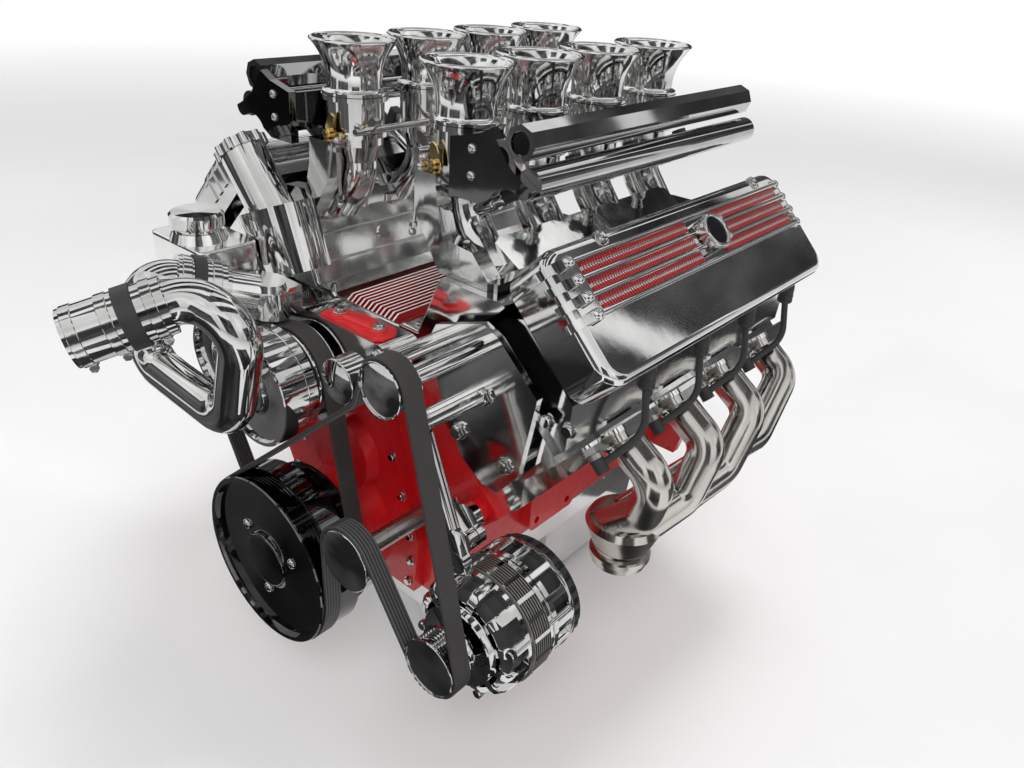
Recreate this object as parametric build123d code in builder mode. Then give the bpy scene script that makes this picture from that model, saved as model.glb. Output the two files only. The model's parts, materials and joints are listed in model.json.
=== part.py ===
"""Dressed 90-degree V8 with eight-stack injection, as it sits in a show car's engine bay.

Millimetres.  The origin is the crank's centreline at the flywheel face of the block.
-Y is the belt end, +X is the driver's side, +Z is up.
"""
from build123d import *
import math
import os

os.makedirs("parts", exist_ok=True)

# Block.  Ahead means forward of the block's front face.
bore_spacing = 111.8
bores_per_bank = 4
bank_tilt = 45.0
rear_bore, front_bore = 91.6, 78.0      # flywheel face to the first bore, last bore to the front face
deck_height = 234.7                     # crank centre to the deck, up the bore
deck_half = 85.0
skirt_drop = 60.0
skirt_half = 135.0
waist_x, waist_z = 150.0, 30.0
valley_floor = 170.0
valley_half = 52.0
front_wall_down, front_wall_in = 21.2, 77.8     # its shoulders, from the deck and the bore line
front_wall_rise, front_wall_half, front_wall_depth = 2.9, 60.0, 34.0
bell_radius = 186.0
bell_thickness = 14.0
bell_bolt_radius = 172.0
bell_bolt_hole = 5.5
seal_bore, seal_depth = 58.0, 17.0

# Engine mount pads on the block's sides
pad_ahead = 40.7                        # middle of the bank to the driver's pad
pad_stagger = 12.0                      # the passenger's pad sits this much further back
pad_length, pad_height, pad_reach = 96.0, 74.0, 152.0
pad_root, pad_corner = 30.0, 10.0
pad_z = -8.0
pad_hole_y, pad_hole_z, pad_hole_radius, pad_hole_depth = 66.0, 46.0, 5.25, 20.0

# Oil pan
pan_depth, sump_depth, sump_length = 52.0, 150.0, 235.0
pan_half = 118.0
pan_flange, pan_inset, pan_step = 7.0, 6.0, 20.0

# Timing cover: outline on the driver's side, then its round steps
timing_foot, timing_waist, timing_shoulder = (112.0, -60.0), (118.0, 20.0), (62.0, 176.0)
timing_crown = 192.0
timing_plate, timing_depth = 14.0, 57.0
timing_nose, timing_cam, timing_cam_z, timing_cam_depth = 74.0, 52.0, 96.0, 16.0

# Heads, in a bank's own directions: up the bore and out across it
head_thickness = 110.0
head_inner, head_outer = 95.0, 60.0
head_front, head_rear = 68.0, 80.0      # past the end bores
head_chamfer, head_ledge, head_shelf = 14.0, 26.0, 56.0
port_up = 95.0                          # deck to exhaust port
port_offset = 50.0                      # bore to exhaust port, towards the flywheel
port_pad_long, port_pad_tall, port_pad_thick = 70.0, 62.0, 6.0
plug_pad_radius, plug_pad_thick = 15.0, 4.0

# Valve covers, coil packs and coil covers
seat_gap = 0.3
cover_height, cover_inner, cover_outer, cover_top_outer = 50.0, 88.0, 52.0, 18.0
cover_inset, cover_foot, cover_wall = 6.0, 12.0, 30.0
coil_inner, coil_outer, coil_height = 62.0, -8.0, 30.0
coil_length, coil_offset = 42.0, 40.0   # along the engine; bore to coil, towards the flywheel
shroud_rise, shroud_depth = 115.3, 54.0     # head's top to the finned top, and down to the open underside
shroud_inner, shroud_outer = 117.0, 24.0
shroud_past_front, shroud_past_rear = 73.0, 65.6    # past the end bores
shroud_corner, shroud_round = 25.0, 10.0
shroud_wall = 4.0
post_out, post_radius, post_offset = -40.0, 7.0, -10.0
notch_width, notch_tall = 24.0, 20.0
fin_first, fin_pitch, fin_count = -97.0, 18.0, 4
fin_past_front, fin_past_rear = 48.0, 46.6
fin_width, fin_height, knob_radius = 5.0, 6.0, 6.5
nose_run, nose_fall, nose_bend, nose_root, nose_width = 27.0, 36.0, 20.0, 5.0, 9.0
inlay_thickness = 1.5
inlay_inset, inlay_front_inset, inlay_break = 8.0, 18.0, 6.0
medal_back, medal_out, medal_radius, medal_height = 15.3, -70.0, 20.0, 13.0
disc_margin, disc_thick = 4.0, 2.5

# Intake base and valley cover.  Rise is from the heads' inner top edges, and across is from the stacks.
base_past_front, base_past_rear = 65.0, 69.6
base_lift = 2.9
base_rim_drop, base_rim_across = 40.9, 2.1
base_shoulder_rise, base_shoulder_in, base_shoulder_out = 31.1, 33.1, 119.1
base_chamfer = 5.0
valley_rim, valley_sunk = 58.0, 9.0
rib_count, rib_pitch, rib_thick, rib_tall = 12, 7.0, 2.4, 9.0
rib_past_front, rib_length, rib_toe, rib_plate = 51.0, 330.0, 10.0, 2.0

# Runners, throttle bodies and stacks
stack_in = 91.7                         # from the heads' inner top edge
stack_rise, seam_rise, body_rise, cone_rise = 232.1, 173.1, 130.1, 101.1
rim_radius = 48.2
lip_radius = 2.6
flare_steps, lip_steps = 4, 3
throat_radius = 27.5
stack_wall = 3.0
stack_neck, stack_flange = 12.0, 4.0
body_flange_radius, body_flange_thick = 37.0, 5.0
body_radius = 32.5
runner_radius = 24.0
runner_drop, runner_across, runner_bend = 24.0, 51.1, 60.0
foot_thick = 8.0
foot_length, foot_width, foot_across, foot_corner = 92.0, 70.0, 61.1, 12.0
web_in, web_out, web_rise, web_step = 31.1, 81.1, 22.0, 12.0
gusset_past_front, gusset_thick = 55.0, 20.0
gusset_outline = [(21.1, 0.0), (87.1, 0.0), (87.1, 10.0), (65.1, 34.0), (25.1, 38.0), (16.0, 68.0),
                  (12.0, 98.7), (-16.0, 98.7), (-16.0, 58.0), (7.1, 20.0)]     # from stack line and foot
bridge_width, bridge_thick = 28.0, 10.0
throttle_rise, plate_thickness = 151.1, 2.0
linkage_radius, linkage_rise = 4.0, 140.1
lever_back, lever_in, lever_length, lever_width, lever_thick = 12.0, 6.0, 16.0, 10.0, 5.0

# Fuel rails
rail_across, rail_rise, rail_radius = 113.1, 179.1, 16.0
low_rail_across, low_rail_rise, low_rail_radius = 127.1, 146.1, 14.0
rail_past_front, rail_past_rear = 51.0, 28.6
rail_dimple, rail_dimple_depth = 11.0, 3.0
plate_thick, plate_tab_thick, plate_tab_back = 10.0, 6.0, 8.0
plate_foot, plate_head = 61.0, 6.0      # down from the upper rail
plate_high = [(-42.0, 2.0), (-26.0, 10.0), (-4.0, -18.0)]       # from the upper rail, then from the lower
plate_low = [(11.0, -2.0), (4.0, -12.0), (-8.0, -8.0), (-24.0, -8.0), (-38.0, -20.0), (-52.0, -28.0)]
injector_radius, injector_boss_radius, injector_boss = 7.0, 10.0, 34.0
injector_across, injector_rise = 12.0, 85.1     # where an injector's line leaves the runner's middle

# Spark plugs and leads
plug_up = 96.0
plug_offset = -3.0
plug_length, plug_radius, plug_boot = 14.0, 8.0, 16.0
lead_radius = 4.0
lead_offset = 46.0          # bore to its coil's lead, towards the flywheel
lead_across, lead_along, lead_sag, lead_bend = 13.0, 10.0, 48.0, 34.0
boot_radius, boot_rise, boot_across, boot_hang, boot_bend = 9.0, 8.0, 18.7, 24.5, 20.0

# Exhaust headers: a tube's two bends from its port, as out, forward and down, from the front port back
tube_radius, tube_bend, tube_sunk, tube_end = 21.5, 32.0, 2.4, 48.0
header_flange_thick, header_flange_long, header_flange_tall = 9.0, 68.0, 58.0
header_bends = [((53.5, 1.0, 34.8), (37.5, -9.0, 89.8)), ((55.5, 2.0, 35.8), (49.5, 30.0, 97.8)),
                ((53.5, 5.0, 33.8), (51.5, 54.0, 99.8)), ((43.5, 8.0, 27.8), (51.5, 84.0, 83.8))]
header_ends = [(-16.0, 15.0), (14.0, 17.0), (16.0, -14.0), (-14.0, -17.0)]
collector_out, collector_ahead, collector_drop = 5.5, 90.7, 183.8     # from the port and the bank's middle
collector_radius, collector_neck = 33.0, 26.0
bead_radius, bead_low, bead_high = 37.0, 10.0, 16.0
funnel_radius, funnel_tall, funnel_lip = 46.0, 64.0, 8.0
collector_bore, collector_depth = 30.0, 44.0

# Belt drive: places are across and up, seen from the front, and ahead of the block
crank_ahead, crank_hub = 145.0, 32.0
belt_width, belt_thickness, belt_gap = 21.4, 4.5, 0.4
front_belt_ahead, rear_belt_ahead = 129.0, 78.0
crank_rib_radius, crank_rim_radius = 101.0, 105.0
rear_rib_radius = 88.0
pulley_flange, flange_land, flange_side = 2.5, 2.0, 0.8
pump_x, pump_z, drum_radius, pump_rib_radius = 0.0, 222.0, 61.0, 50.0
pump_hub, drum_step, drum_length = 22.0, 8.0, 42.0
idler_across, idler_up, idler_radius = -18.2, 37.4, 35.0        # from the block's lower boss
alt_across, alt_up, alt_rib_radius, alt_hub = 68.6, -76.6, 30.0, 10.0       # from its upper boss
top_across, top_up, top_rib_radius = 23.4, -4.9, 24.0           # from the head's inner top edge
back_across, back_up, back_radius = -35.6, -20.9, 22.0
steer_x, steer_z, steer_rib_radius, steer_hub = -140.0, 190.0, 52.0, 20.0

# Water pump, its neck and the pipe to the radiator
pump_front_ahead, pump_back_ahead = 58.7, 14.3
pump_radius = 66.0
cross_left, cross_right, cross_low, cross_high, cross_corner = -112.0, 118.0, 236.0, 286.0, 14.0
leg_x, leg_z, leg_radius = 58.0, 208.0, 21.0
neck_x, neck_ahead, neck_low, neck_high = -48.0, 81.0, 278.0, 316.0
neck_half_x, neck_half_y, neck_step = 30.0, 21.0, 8.0
spigot_radius, spigot_length = 19.0, 29.0
pipe_radius, pipe_bore, pipe_open = 20.0, 18.0, 40.0
sleeve_wall, inner_sleeve_wall, band_wall = 6.0, 5.4, 8.0
pipe_points = [(-2.0, 303.0, 334.0), (41.0, 213.0, 361.0), (84.0, 193.0, 341.0), (48.0, 191.0, 228.0),
               (-106.0, 189.0, 236.0), (-90.0, 193.0, 336.0), (-60.0, 118.0, 312.0)]
pipe_bends = [34.0, 36.0, 40.0, 28.0, 24.0]
front_sleeves, front_band = [(0.0, 45.0), (60.3, 84.0)], (45.3, 60.0)
rear_sleeves, rear_band = [(6.0, 26.0), (38.3, 53.0)], (26.3, 38.0)

# Steering pump and its reservoir
steer_body_radius = 40.0
tank_left, tank_right, tank_front_ahead, tank_rear_ahead = -197.0, -93.0, 125.0, 54.0
tank_low, tank_high, tank_corner, tank_edge = 308.0, 340.0, 10.0, 3.0
tank_neck = 10.0
cap_x, cap_ahead, cap_radius, cap_height = -140.0, 98.0, 28.5, 20.0
arm_left, arm_right, arm_deep, arm_low, arm_shelf = 24.0, 20.0, 11.0, 30.0, 6.0

# Filler housing on the passenger's side of the intake's front
filler_across, filler_ahead, filler_drop = 6.1, 7.0, 18.9
filler_lean, filler_length, filler_low_radius, filler_high_radius = 23.0, 76.0, 43.0, 47.0
spout_across, spout_rise, spout_lean, spout_length, spout_radius = 48.1, 43.1, 41.0, 74.0, 27.0
spout_root, filler_lobes, filler_lobe, filler_cap_thick = 16.0, 10, 4.5, 12.0

# Alternator, its brackets and the adjuster.  Across and up are from the block's upper boss.
alt_front_ahead, alt_rear_ahead, alt_case_radius = 109.2, -15.0, 66.0
split_front_ahead, split_rear_ahead, split_core, split_proud = 61.0, 35.0, 34.0, 2.0
alt_nose, alt_step, alt_nose_radius, alt_hub_radius = 14.0, 6.0, 46.0, 24.0
ear_across, ear_up, ear_radius, ear_thick = 39.6, -1.6, 12.0, 12.0
pivot_across, pivot_up, pivot_radius, pivot_thick = 9.6, -17.6, 13.0, 10.0
boss_high_up, boss_high_out = 24.0, 18.0
boss_low_up, boss_low_out = 92.0, 4.0
boss_depth, boss_radius, boss_bolt, boss_bolt_depth = 10.0, 16.0, 5.0, 16.0
bracket_thick = 8.0
bracket_outline = [(-26.6, -104.9), (-52.6, -26.9), (-42.6, -6.9), (19.4, 15.1), (39.4, 7.1), (91.4, -38.9),
                   (75.4, -132.9), (51.4, -164.9), (29.4, -164.9), (-0.6, -144.9)]     # from the head's edge
bracket_posts = [(86.3, -32.5), (62.3, 36.8), (25.5, -17.0)]    # up from the deck, out from the bores
post_wide = 9.0
arm_across, arm_up, arm_radius = 1.4, -75.9, 11.0
rod_ahead, rod_radius = 61.0, 8.0
idler_shaft_radius, idler_foot_radius, idler_foot = 11.0, 19.0, 12.0

# Crank flange at the flywheel end, set into the block
flange_radius, flange_sunk, flange_thick = 52.0, 2.0, 12.0
flange_circle, flange_hole, flange_bolts = 39.5, 5.5, 6
pilot_radius, pilot_depth = 18.0, 8.0

# What follows from the sizes above
s45 = math.sin(math.radians(bank_tilt))
c45 = math.cos(math.radians(bank_tilt))
block_length = rear_bore + bore_spacing * (bores_per_bank - 1) + front_bore
bores = [-(rear_bore + bore_spacing * n) for n in range(bores_per_bank)]
middle_bore = (bores[0] + bores[-1]) / 2
head_y0 = bores[0] + head_rear
head_front_y = bores[-1] - head_front
head_length = head_y0 - head_front_y
rail_up = deck_height + head_thickness
peak_x, peak_z = (rail_up - head_inner) * s45, (rail_up + head_inner) * c45
gully_z = (deck_height + head_inner) * c45
shroud_top = rail_up + shroud_rise
shroud_bottom = shroud_top - shroud_depth
stack_x, stack_top, stack_seam = peak_x - stack_in, peak_z + stack_rise, peak_z + seam_rise
body_top, body_bottom, cone_bottom = stack_seam, peak_z + body_rise, peak_z + cone_rise
throttle_z, linkage_z = peak_z + throttle_rise, peak_z + linkage_rise
shoulder_z, base_rim_z = peak_z + base_shoulder_rise, peak_z - base_rim_drop
foot_z = shoulder_z + seat_gap
rail_x, rail_z = stack_x + rail_across, peak_z + rail_rise
low_rail_x, low_rail_z = stack_x + low_rail_across, peak_z + low_rail_rise
rail_front, rail_rear = rail_past_front - bores[-1], -bores[0] - rail_past_rear
front_belt_y, rear_belt_y = block_length + front_belt_ahead, block_length + rear_belt_ahead
timing_front, crank_front = block_length + timing_depth, block_length + crank_ahead
pump_front, pump_back = block_length + pump_front_ahead, block_length + pump_back_ahead
top_x, top_z = peak_x + top_across, peak_z + top_up
back_x, back_z = peak_x + back_across, peak_z + back_up
arm_x, arm_z = peak_x + arm_across, peak_z + arm_up
pipe_route = [(x, -block_length - ahead, z) for x, ahead, z in pipe_points]


def bank(up, out):
    """Across and up, for a point given up the driver's bank and out across it."""
    return up * s45 + out * c45, up * c45 - out * s45


def bank_plane(y):
    """Sketch plane across the driver's bank: X is out, Y is up the bore, it extrudes to the front."""
    return Plane(origin=(0, y, 0), x_dir=(c45, 0, -s45), z_dir=(0, -1, 0))


def flat_plane(y, x=0.0, z=0.0):
    """Upright sketch plane at y: X is across, Y is up, it extrudes to the front."""
    return Plane(origin=(x, y, z), x_dir=(1, 0, 0), z_dir=(0, -1, 0))


def deck_plane(up, out=0.0, y=0.0):
    """Plane square to the bores: X is out, Y is to the flywheel, it extrudes up the bank."""
    x, z = bank(up, out)
    return Plane(origin=(x, y, z), x_dir=(c45, 0, -s45), z_dir=(s45, 0, c45))


def side_plane(up, out, y):
    """Plane on the outer face of a head: Y is up the bore, it extrudes out across the bank."""
    x, z = bank(up, out)
    return Plane(origin=(x, y, z), x_dir=(0, 1, 0), z_dir=(c45, 0, -s45))


def write(part, name):
    part.label = name
    export_step(part, f"parts/{name}.step")


def write_pair(left, name):
    """The passenger's side is the mirror image of the driver's side."""
    write(left, name + "_left")
    with BuildPart() as right:
        mirror(left, about=Plane.YZ)
    write(right.part, name + "_right")


def write_both(left, name):
    """Both sides of the engine in one file."""
    with BuildPart() as both:
        add(left)
        mirror(left, about=Plane.YZ)
    write(both.part, name)


def mirrored(points):
    return points + [(-x, z) for x, z in reversed(points)]


def ahead_plane(ahead, x=0.0, z=0.0):
    """Upright sketch plane ahead of the block's front face."""
    return flat_plane(-block_length - ahead, x, z)


def shifted(points, x, z):
    return [(x + across, z + up) for across, up in points]


def block_bosses():
    """Accessory bosses on the block's front, as across and up: the upper one, then the lower."""
    return (bank(deck_height - boss_high_up, deck_half - boss_high_out),
            bank(deck_height - boss_low_up, deck_half - boss_low_out))


def hung_on_boss():
    """The alternator's, its ear's, its pivot's and the lower idler's places, as across and up."""
    (high_x, high_z), (low_x, low_z) = block_bosses()
    return ((high_x + alt_across, high_z + alt_up), (high_x + ear_across, high_z + ear_up),
            (high_x + pivot_across, high_z + pivot_up), (low_x + idler_across, low_z + idler_up))


def engine_block():
    outer = bank(deck_height, deck_half)
    inner = bank(deck_height, -deck_half)
    half = [(0, valley_floor), (valley_half, valley_floor), inner, outer,
            (waist_x, waist_z), (skirt_half, 0), (skirt_half, -skirt_drop)]
    with BuildPart() as block:
        with BuildSketch(Plane.XZ):
            with BuildLine():
                Polyline(*half, *[(-x, z) for x, z in reversed(half[1:])], close=True)
            make_face()
        extrude(amount=block_length)
        with BuildSketch(ahead_plane(-front_wall_depth)):
            with BuildLine():
                Polyline(*mirrored([(valley_half, valley_floor - seat_gap),
                                    bank(deck_height - front_wall_down, -front_wall_in),
                                    (front_wall_half, gully_z + front_wall_rise)]), close=True)
            make_face()
        extrude(amount=front_wall_depth)
        with BuildSketch(Plane.XZ):
            Circle(bell_radius)
            with Locations((0, -skirt_drop - bell_radius)):
                Rectangle(4 * bell_radius, 2 * bell_radius, mode=Mode.SUBTRACT)
        extrude(amount=bell_thickness)
        with BuildSketch(Plane.XZ):
            with PolarLocations(bell_bolt_radius, 6, start_angle=-18, angular_range=216, endpoint=True):
                Circle(bell_bolt_hole)
        extrude(amount=bell_thickness, mode=Mode.SUBTRACT)
        with BuildSketch(Plane.XZ):
            Circle(seal_bore)
        extrude(amount=seal_depth, mode=Mode.SUBTRACT)
        for side, pad_y in ((1, middle_bore - pad_ahead), (-1, middle_bore - pad_ahead + pad_stagger)):
            pad = Plane(origin=(side * pad_reach, pad_y, pad_z), x_dir=(0, side, 0), z_dir=(side, 0, 0))
            with BuildSketch(pad):
                RectangleRounded(pad_length, pad_height, pad_corner)
            extrude(amount=-pad_root)
            with Locations(pad):
                with GridLocations(pad_hole_y, pad_hole_z, 2, 2):
                    Hole(pad_hole_radius, depth=pad_hole_depth)
            for x, z in block_bosses():
                with BuildSketch(ahead_plane(0, side * x, z)):
                    Circle(boss_radius)
                extrude(amount=boss_depth)
                with Locations(ahead_plane(boss_depth, side * x, z)):
                    Hole(boss_bolt, depth=boss_bolt_depth)
    write(block.part, "engine_block")


def oil_pan():
    top = -skirt_drop
    with BuildPart() as pan:
        with BuildSketch(Plane.XY.offset(top)):
            with Locations((0, -block_length / 2)):
                Rectangle(2 * skirt_half - pan_inset, block_length - 2 * pan_inset)
        extrude(amount=-pan_flange)
        with BuildSketch(Plane.XY.offset(top - pan_flange)):
            with Locations((0, -block_length / 2)):
                Rectangle(2 * pan_half, block_length - 2 * pan_step)
        extrude(amount=-pan_depth)
        with BuildSketch(Plane.XY.offset(top - pan_flange)):
            with Locations((0, -pan_step - sump_length / 2)):
                Rectangle(2 * pan_half, sump_length)
        extrude(amount=-sump_depth, taper=4)
    write(pan.part, "oil_pan")


def timing_cover():
    with BuildPart() as cover:
        with BuildSketch(ahead_plane(0)):
            with BuildLine():
                Polyline(*mirrored([timing_shoulder, timing_waist, timing_foot]))
                ThreePointArc(timing_shoulder, (0, timing_crown), (-timing_shoulder[0], timing_shoulder[1]))
            make_face()
        extrude(amount=timing_plate)
        with BuildSketch(ahead_plane(timing_plate)):
            Circle(timing_nose)
        extrude(amount=timing_depth - timing_plate, taper=8)
        with BuildSketch(ahead_plane(timing_plate)):
            with Locations((0, timing_cam_z)):
                Circle(timing_cam)
        extrude(amount=timing_cam_depth, taper=12)
    write(cover.part, "timing_cover")


def cylinder_head():
    with BuildPart() as head:
        with BuildSketch(bank_plane(head_y0)):
            with BuildLine():
                Polyline((-head_inner + head_chamfer, deck_height), (deck_half, deck_height),
                         (deck_half, deck_height + head_ledge), (head_outer, deck_height + head_shelf),
                         (head_outer, rail_up), (-head_inner + head_chamfer, rail_up),
                         (-head_inner, rail_up - head_chamfer), (-head_inner, deck_height + head_chamfer),
                         close=True)
            make_face()
        extrude(amount=head_length)
        for bore in bores:
            with BuildSketch(side_plane(deck_height + port_up, head_outer, bore + port_offset)):
                RectangleRounded(port_pad_long, port_pad_tall, foot_corner)
            extrude(amount=port_pad_thick)
            with BuildSketch(side_plane(deck_height + plug_up, head_outer, bore + plug_offset)):
                Circle(plug_pad_radius)
            extrude(amount=plug_pad_thick)
    return head.part


def valve_cover():
    with BuildPart() as cover:
        with BuildSketch(bank_plane(head_y0 - cover_inset)):
            with BuildLine():
                Polyline((-cover_inner, rail_up), (cover_outer, rail_up),
                         (cover_outer, rail_up + cover_foot), (cover_top_outer, rail_up + cover_height),
                         (-cover_inner + cover_foot, rail_up + cover_height),
                         (-cover_inner, rail_up + cover_wall), close=True)
            make_face()
        extrude(amount=head_length - 2 * cover_inset)
    return cover.part


def coil_packs():
    with BuildPart() as coils:
        for bore in bores:
            with BuildSketch(deck_plane(rail_up + cover_height + seat_gap, 0, bore + coil_offset)):
                with Locations(((coil_outer - coil_inner) / 2, 0)):
                    RectangleRounded(coil_inner + coil_outer, coil_length, 5)
            extrude(amount=coil_height)
    return coils.part


def shroud_plane(up, shrink=0.0):
    """Plane across the coil cover at a height up the bank, with its width and length there."""
    wide = shroud_inner + shroud_outer - 2 * shrink
    long = bores[0] + shroud_past_rear - bores[-1] + shroud_past_front - 2 * shrink
    y = middle_bore + (shroud_past_rear - shroud_past_front) / 2
    return deck_plane(up, (shroud_outer - shroud_inner) / 2, y), wide, long


def coil_cover():
    """A deep cap over the coils: finned on top, open below, with notches where the leads leave."""
    up_axis = Axis(origin=(0, 0, 0), direction=(s45, 0, c45))
    with BuildPart() as cover:
        plane, wide, long = shroud_plane(shroud_bottom)
        with BuildSketch(plane):
            RectangleRounded(wide, long, shroud_corner)
        extrude(amount=shroud_depth)
        fillet(cover.faces().sort_by(up_axis)[-1].edges(), shroud_round)
        plane, wide, long = shroud_plane(shroud_bottom, shroud_wall)
        with BuildSketch(plane):
            RectangleRounded(wide, long, shroud_corner - shroud_wall)
        extrude(amount=shroud_depth - shroud_wall, mode=Mode.SUBTRACT)
        post_foot = rail_up + cover_height + seat_gap
        for bore in bores:
            with BuildSketch(deck_plane(post_foot, post_out, bore + post_offset)):
                Circle(post_radius)
            extrude(amount=shroud_top - shroud_wall / 2 - post_foot)
            with BuildSketch(deck_plane(shroud_bottom, shroud_outer, bore + lead_offset)):
                Rectangle(2 * shroud_corner, notch_width)
            extrude(amount=notch_tall, mode=Mode.SUBTRACT)
        front, rear = bores[-1] - fin_past_front, bores[0] + fin_past_rear
        for n in range(fin_count):
            out = fin_first + fin_pitch * n
            with BuildSketch(deck_plane(shroud_top, out, (front + rear) / 2)):
                SlotOverall(rear - front, fin_width, rotation=90)
                with Locations((0, (front - rear) / 2)):
                    Circle(knob_radius)
            extrude(amount=fin_height)
            with BuildSketch(side_plane(shroud_top, out, front)):
                with BuildLine():
                    crest = (nose_bend - nose_run, fin_height)
                    brow = (-nose_run, fin_height - nose_bend)
                    Polyline((knob_radius, 0), (knob_radius, fin_height), crest)
                    RadiusArc(crest, brow, -nose_bend)
                    Polyline(brow, (-nose_run, -nose_fall), (-nose_run + nose_root, -nose_fall),
                             (-nose_run + nose_root, -2 * nose_root), (knob_radius, 0))
                make_face()
            extrude(amount=nose_width / 2, both=True)
        with BuildSketch(deck_plane(shroud_top, medal_out, middle_bore + medal_back)):
            Circle(medal_radius)
        extrude(amount=medal_height)
    return cover.part


def coil_cover_inlay():
    medal_y = middle_bore + medal_back
    clear = medal_radius + inlay_break
    spans = ((bores[0] + fin_past_rear - inlay_inset, medal_y + clear),
             (medal_y - clear, bores[-1] - fin_past_front + inlay_front_inset))
    with BuildPart() as inlay:
        for n in range(fin_count - 1):
            for rear, front in spans:
                out = fin_first + fin_pitch * (n + 0.5)
                with BuildSketch(deck_plane(shroud_top + seat_gap, out, (rear + front) / 2)):
                    Rectangle(fin_pitch - fin_width - 1, rear - front)
                extrude(amount=inlay_thickness)
    return inlay.part


def medallion():
    with BuildPart() as disc:
        with BuildSketch(deck_plane(shroud_top + medal_height + seat_gap, medal_out,
                                    middle_bore + medal_back)):
            Circle(medal_radius - disc_margin)
        extrude(amount=disc_thick)
    return disc.part


def intake_base():
    face = math.sqrt(2) * (head_inner + seat_gap)
    low, shoulder = gully_z + base_lift, stack_x + base_shoulder_out
    half = [(low - face, low), (shoulder, shoulder + face), (shoulder - base_chamfer, shoulder_z),
            (stack_x + base_shoulder_in, shoulder_z), (stack_x + base_rim_across, base_rim_z),
            (valley_rim, base_rim_z), (valley_rim, base_rim_z - valley_sunk)]
    rear = bores[0] + base_past_rear
    with BuildPart() as base:
        with BuildSketch(flat_plane(rear)):
            with BuildLine():
                Polyline(*mirrored(half), close=True)
            make_face()
        extrude(amount=rear - bores[-1] + base_past_front)
    write(base.part, "intake_base")


def valley_ribs():
    floor = base_rim_z - valley_sunk + seat_gap
    top = floor + rib_plate + rib_tall
    front = bores[-1] - rib_past_front
    rear = front + rib_length
    with BuildPart() as ribs:
        with BuildSketch(Plane.XY.offset(floor)):
            with Locations((0, (front + rear) / 2)):
                Rectangle(rib_pitch * rib_count, rib_length)
        extrude(amount=rib_plate)
        for n in range(rib_count):
            x = rib_pitch * (n - (rib_count - 1) / 2)
            with BuildSketch(Plane.YZ.offset(x)):
                with BuildLine():
                    Polyline((front - rib_toe, floor), (rear, floor), (rear, top),
                             (front + rib_plate, top), (front - rib_toe, floor + rib_plate), close=True)
                make_face()
            extrude(amount=rib_thick / 2, both=True)
    write(ribs.part, "valley_ribs")


def runner_line(bore):
    """Straight down from the throttle body, then out to the foot."""
    return [(stack_x, bore, cone_bottom), (stack_x + 2, bore, cone_bottom - runner_drop),
            (stack_x + runner_across, bore, foot_z - 2 * foot_thick)]


def injector_line(bore):
    """From the runner's middle up and out to the lower fuel rail."""
    start = Vector(stack_x + injector_across, bore, peak_z + injector_rise)
    end = Vector(low_rail_x, bore, low_rail_z)
    return start, (end - start).normalized(), (end - start).length


def intake_runners():
    """Tubes on foot pads, joined by a sloping web, with a gusset before the first."""
    top = foot_z + foot_thick
    seat = body_bottom - seat_gap
    cone = body_radius - 2
    foot_x = stack_x + foot_across
    gusset_front = bores[-1] - gusset_past_front
    with BuildPart() as runners:
        for bore in bores:
            with BuildSketch(flat_plane(bore)):
                with BuildLine():
                    Polyline((stack_x, cone_bottom - foot_thick),
                             (stack_x + runner_radius, cone_bottom - foot_thick),
                             (stack_x + runner_radius, cone_bottom), (stack_x + cone, seat - bridge_thick),
                             (stack_x + cone, seat), (stack_x, seat), close=True)
                make_face()
            revolve(axis=Axis((stack_x, bore, 0), (0, 0, 1)))
            with BuildLine() as path:
                FilletPolyline(*runner_line(bore), radius=runner_bend)
            with BuildSketch(Plane(origin=path.line @ 0, z_dir=path.line % 0)):
                Circle(runner_radius)
            sweep(path=path.line)
            with BuildSketch(Plane.XY.offset(foot_z)):
                with Locations((foot_x, bore)):
                    RectangleRounded(foot_width, foot_length, foot_corner)
            extrude(amount=foot_thick)
            start, way, _ = injector_line(bore)
            with BuildSketch(Plane(origin=start, z_dir=way)):
                Circle(injector_boss_radius)
            extrude(amount=injector_boss)
        with BuildSketch(flat_plane(bores[0])):
            with BuildLine():
                Polyline(*shifted([(web_in, 0), (web_out, 0), (web_out, foot_thick),
                                   (web_in + web_step, foot_thick + web_rise),
                                   (web_in, foot_thick + web_step)], stack_x, foot_z), close=True)
            make_face()
        extrude(amount=bores[0] - bores[-1])
        with BuildSketch(flat_plane(gusset_front + gusset_thick)):
            with BuildLine():
                Polyline(*shifted(gusset_outline, stack_x, foot_z), close=True)
            make_face()
        extrude(amount=gusset_thick)
        with BuildSketch(Plane.XY.offset(foot_z)):
            with Locations((foot_x, (bores[-1] + gusset_front) / 2)):
                Rectangle(foot_width, bores[-1] - gusset_front - bridge_thick)
        extrude(amount=foot_thick)
        with BuildSketch(Plane.XY.offset(seat - bridge_thick)):
            with Locations((stack_x, (bores[-1] + gusset_front) / 2)):
                Rectangle(bridge_width, bores[-1] - gusset_front)
        extrude(amount=bridge_thick)
        with BuildSketch(Plane.XY.offset(foot_z)):
            with Locations((foot_x, -block_length / 2)):
                Rectangle(3 * foot_width, block_length)
        extrude(amount=-3 * foot_width, mode=Mode.SUBTRACT)
    return runners.part


def throttle_bodies():
    with BuildPart() as bodies:
        for bore in bores:
            with BuildSketch(flat_plane(bore, stack_x, 0)):
                with BuildLine():
                    Polyline((throat_radius, body_bottom), (body_flange_radius, body_bottom),
                             (body_flange_radius, body_bottom + body_flange_thick),
                             (body_radius, body_bottom + body_flange_thick),
                             (body_radius, body_top - body_flange_thick),
                             (body_flange_radius, body_top - body_flange_thick),
                             (body_flange_radius, body_top), (throat_radius, body_top), close=True)
                make_face()
            revolve(axis=Axis((stack_x, bore, 0), (0, 0, 1)))
    return bodies.part


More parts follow.
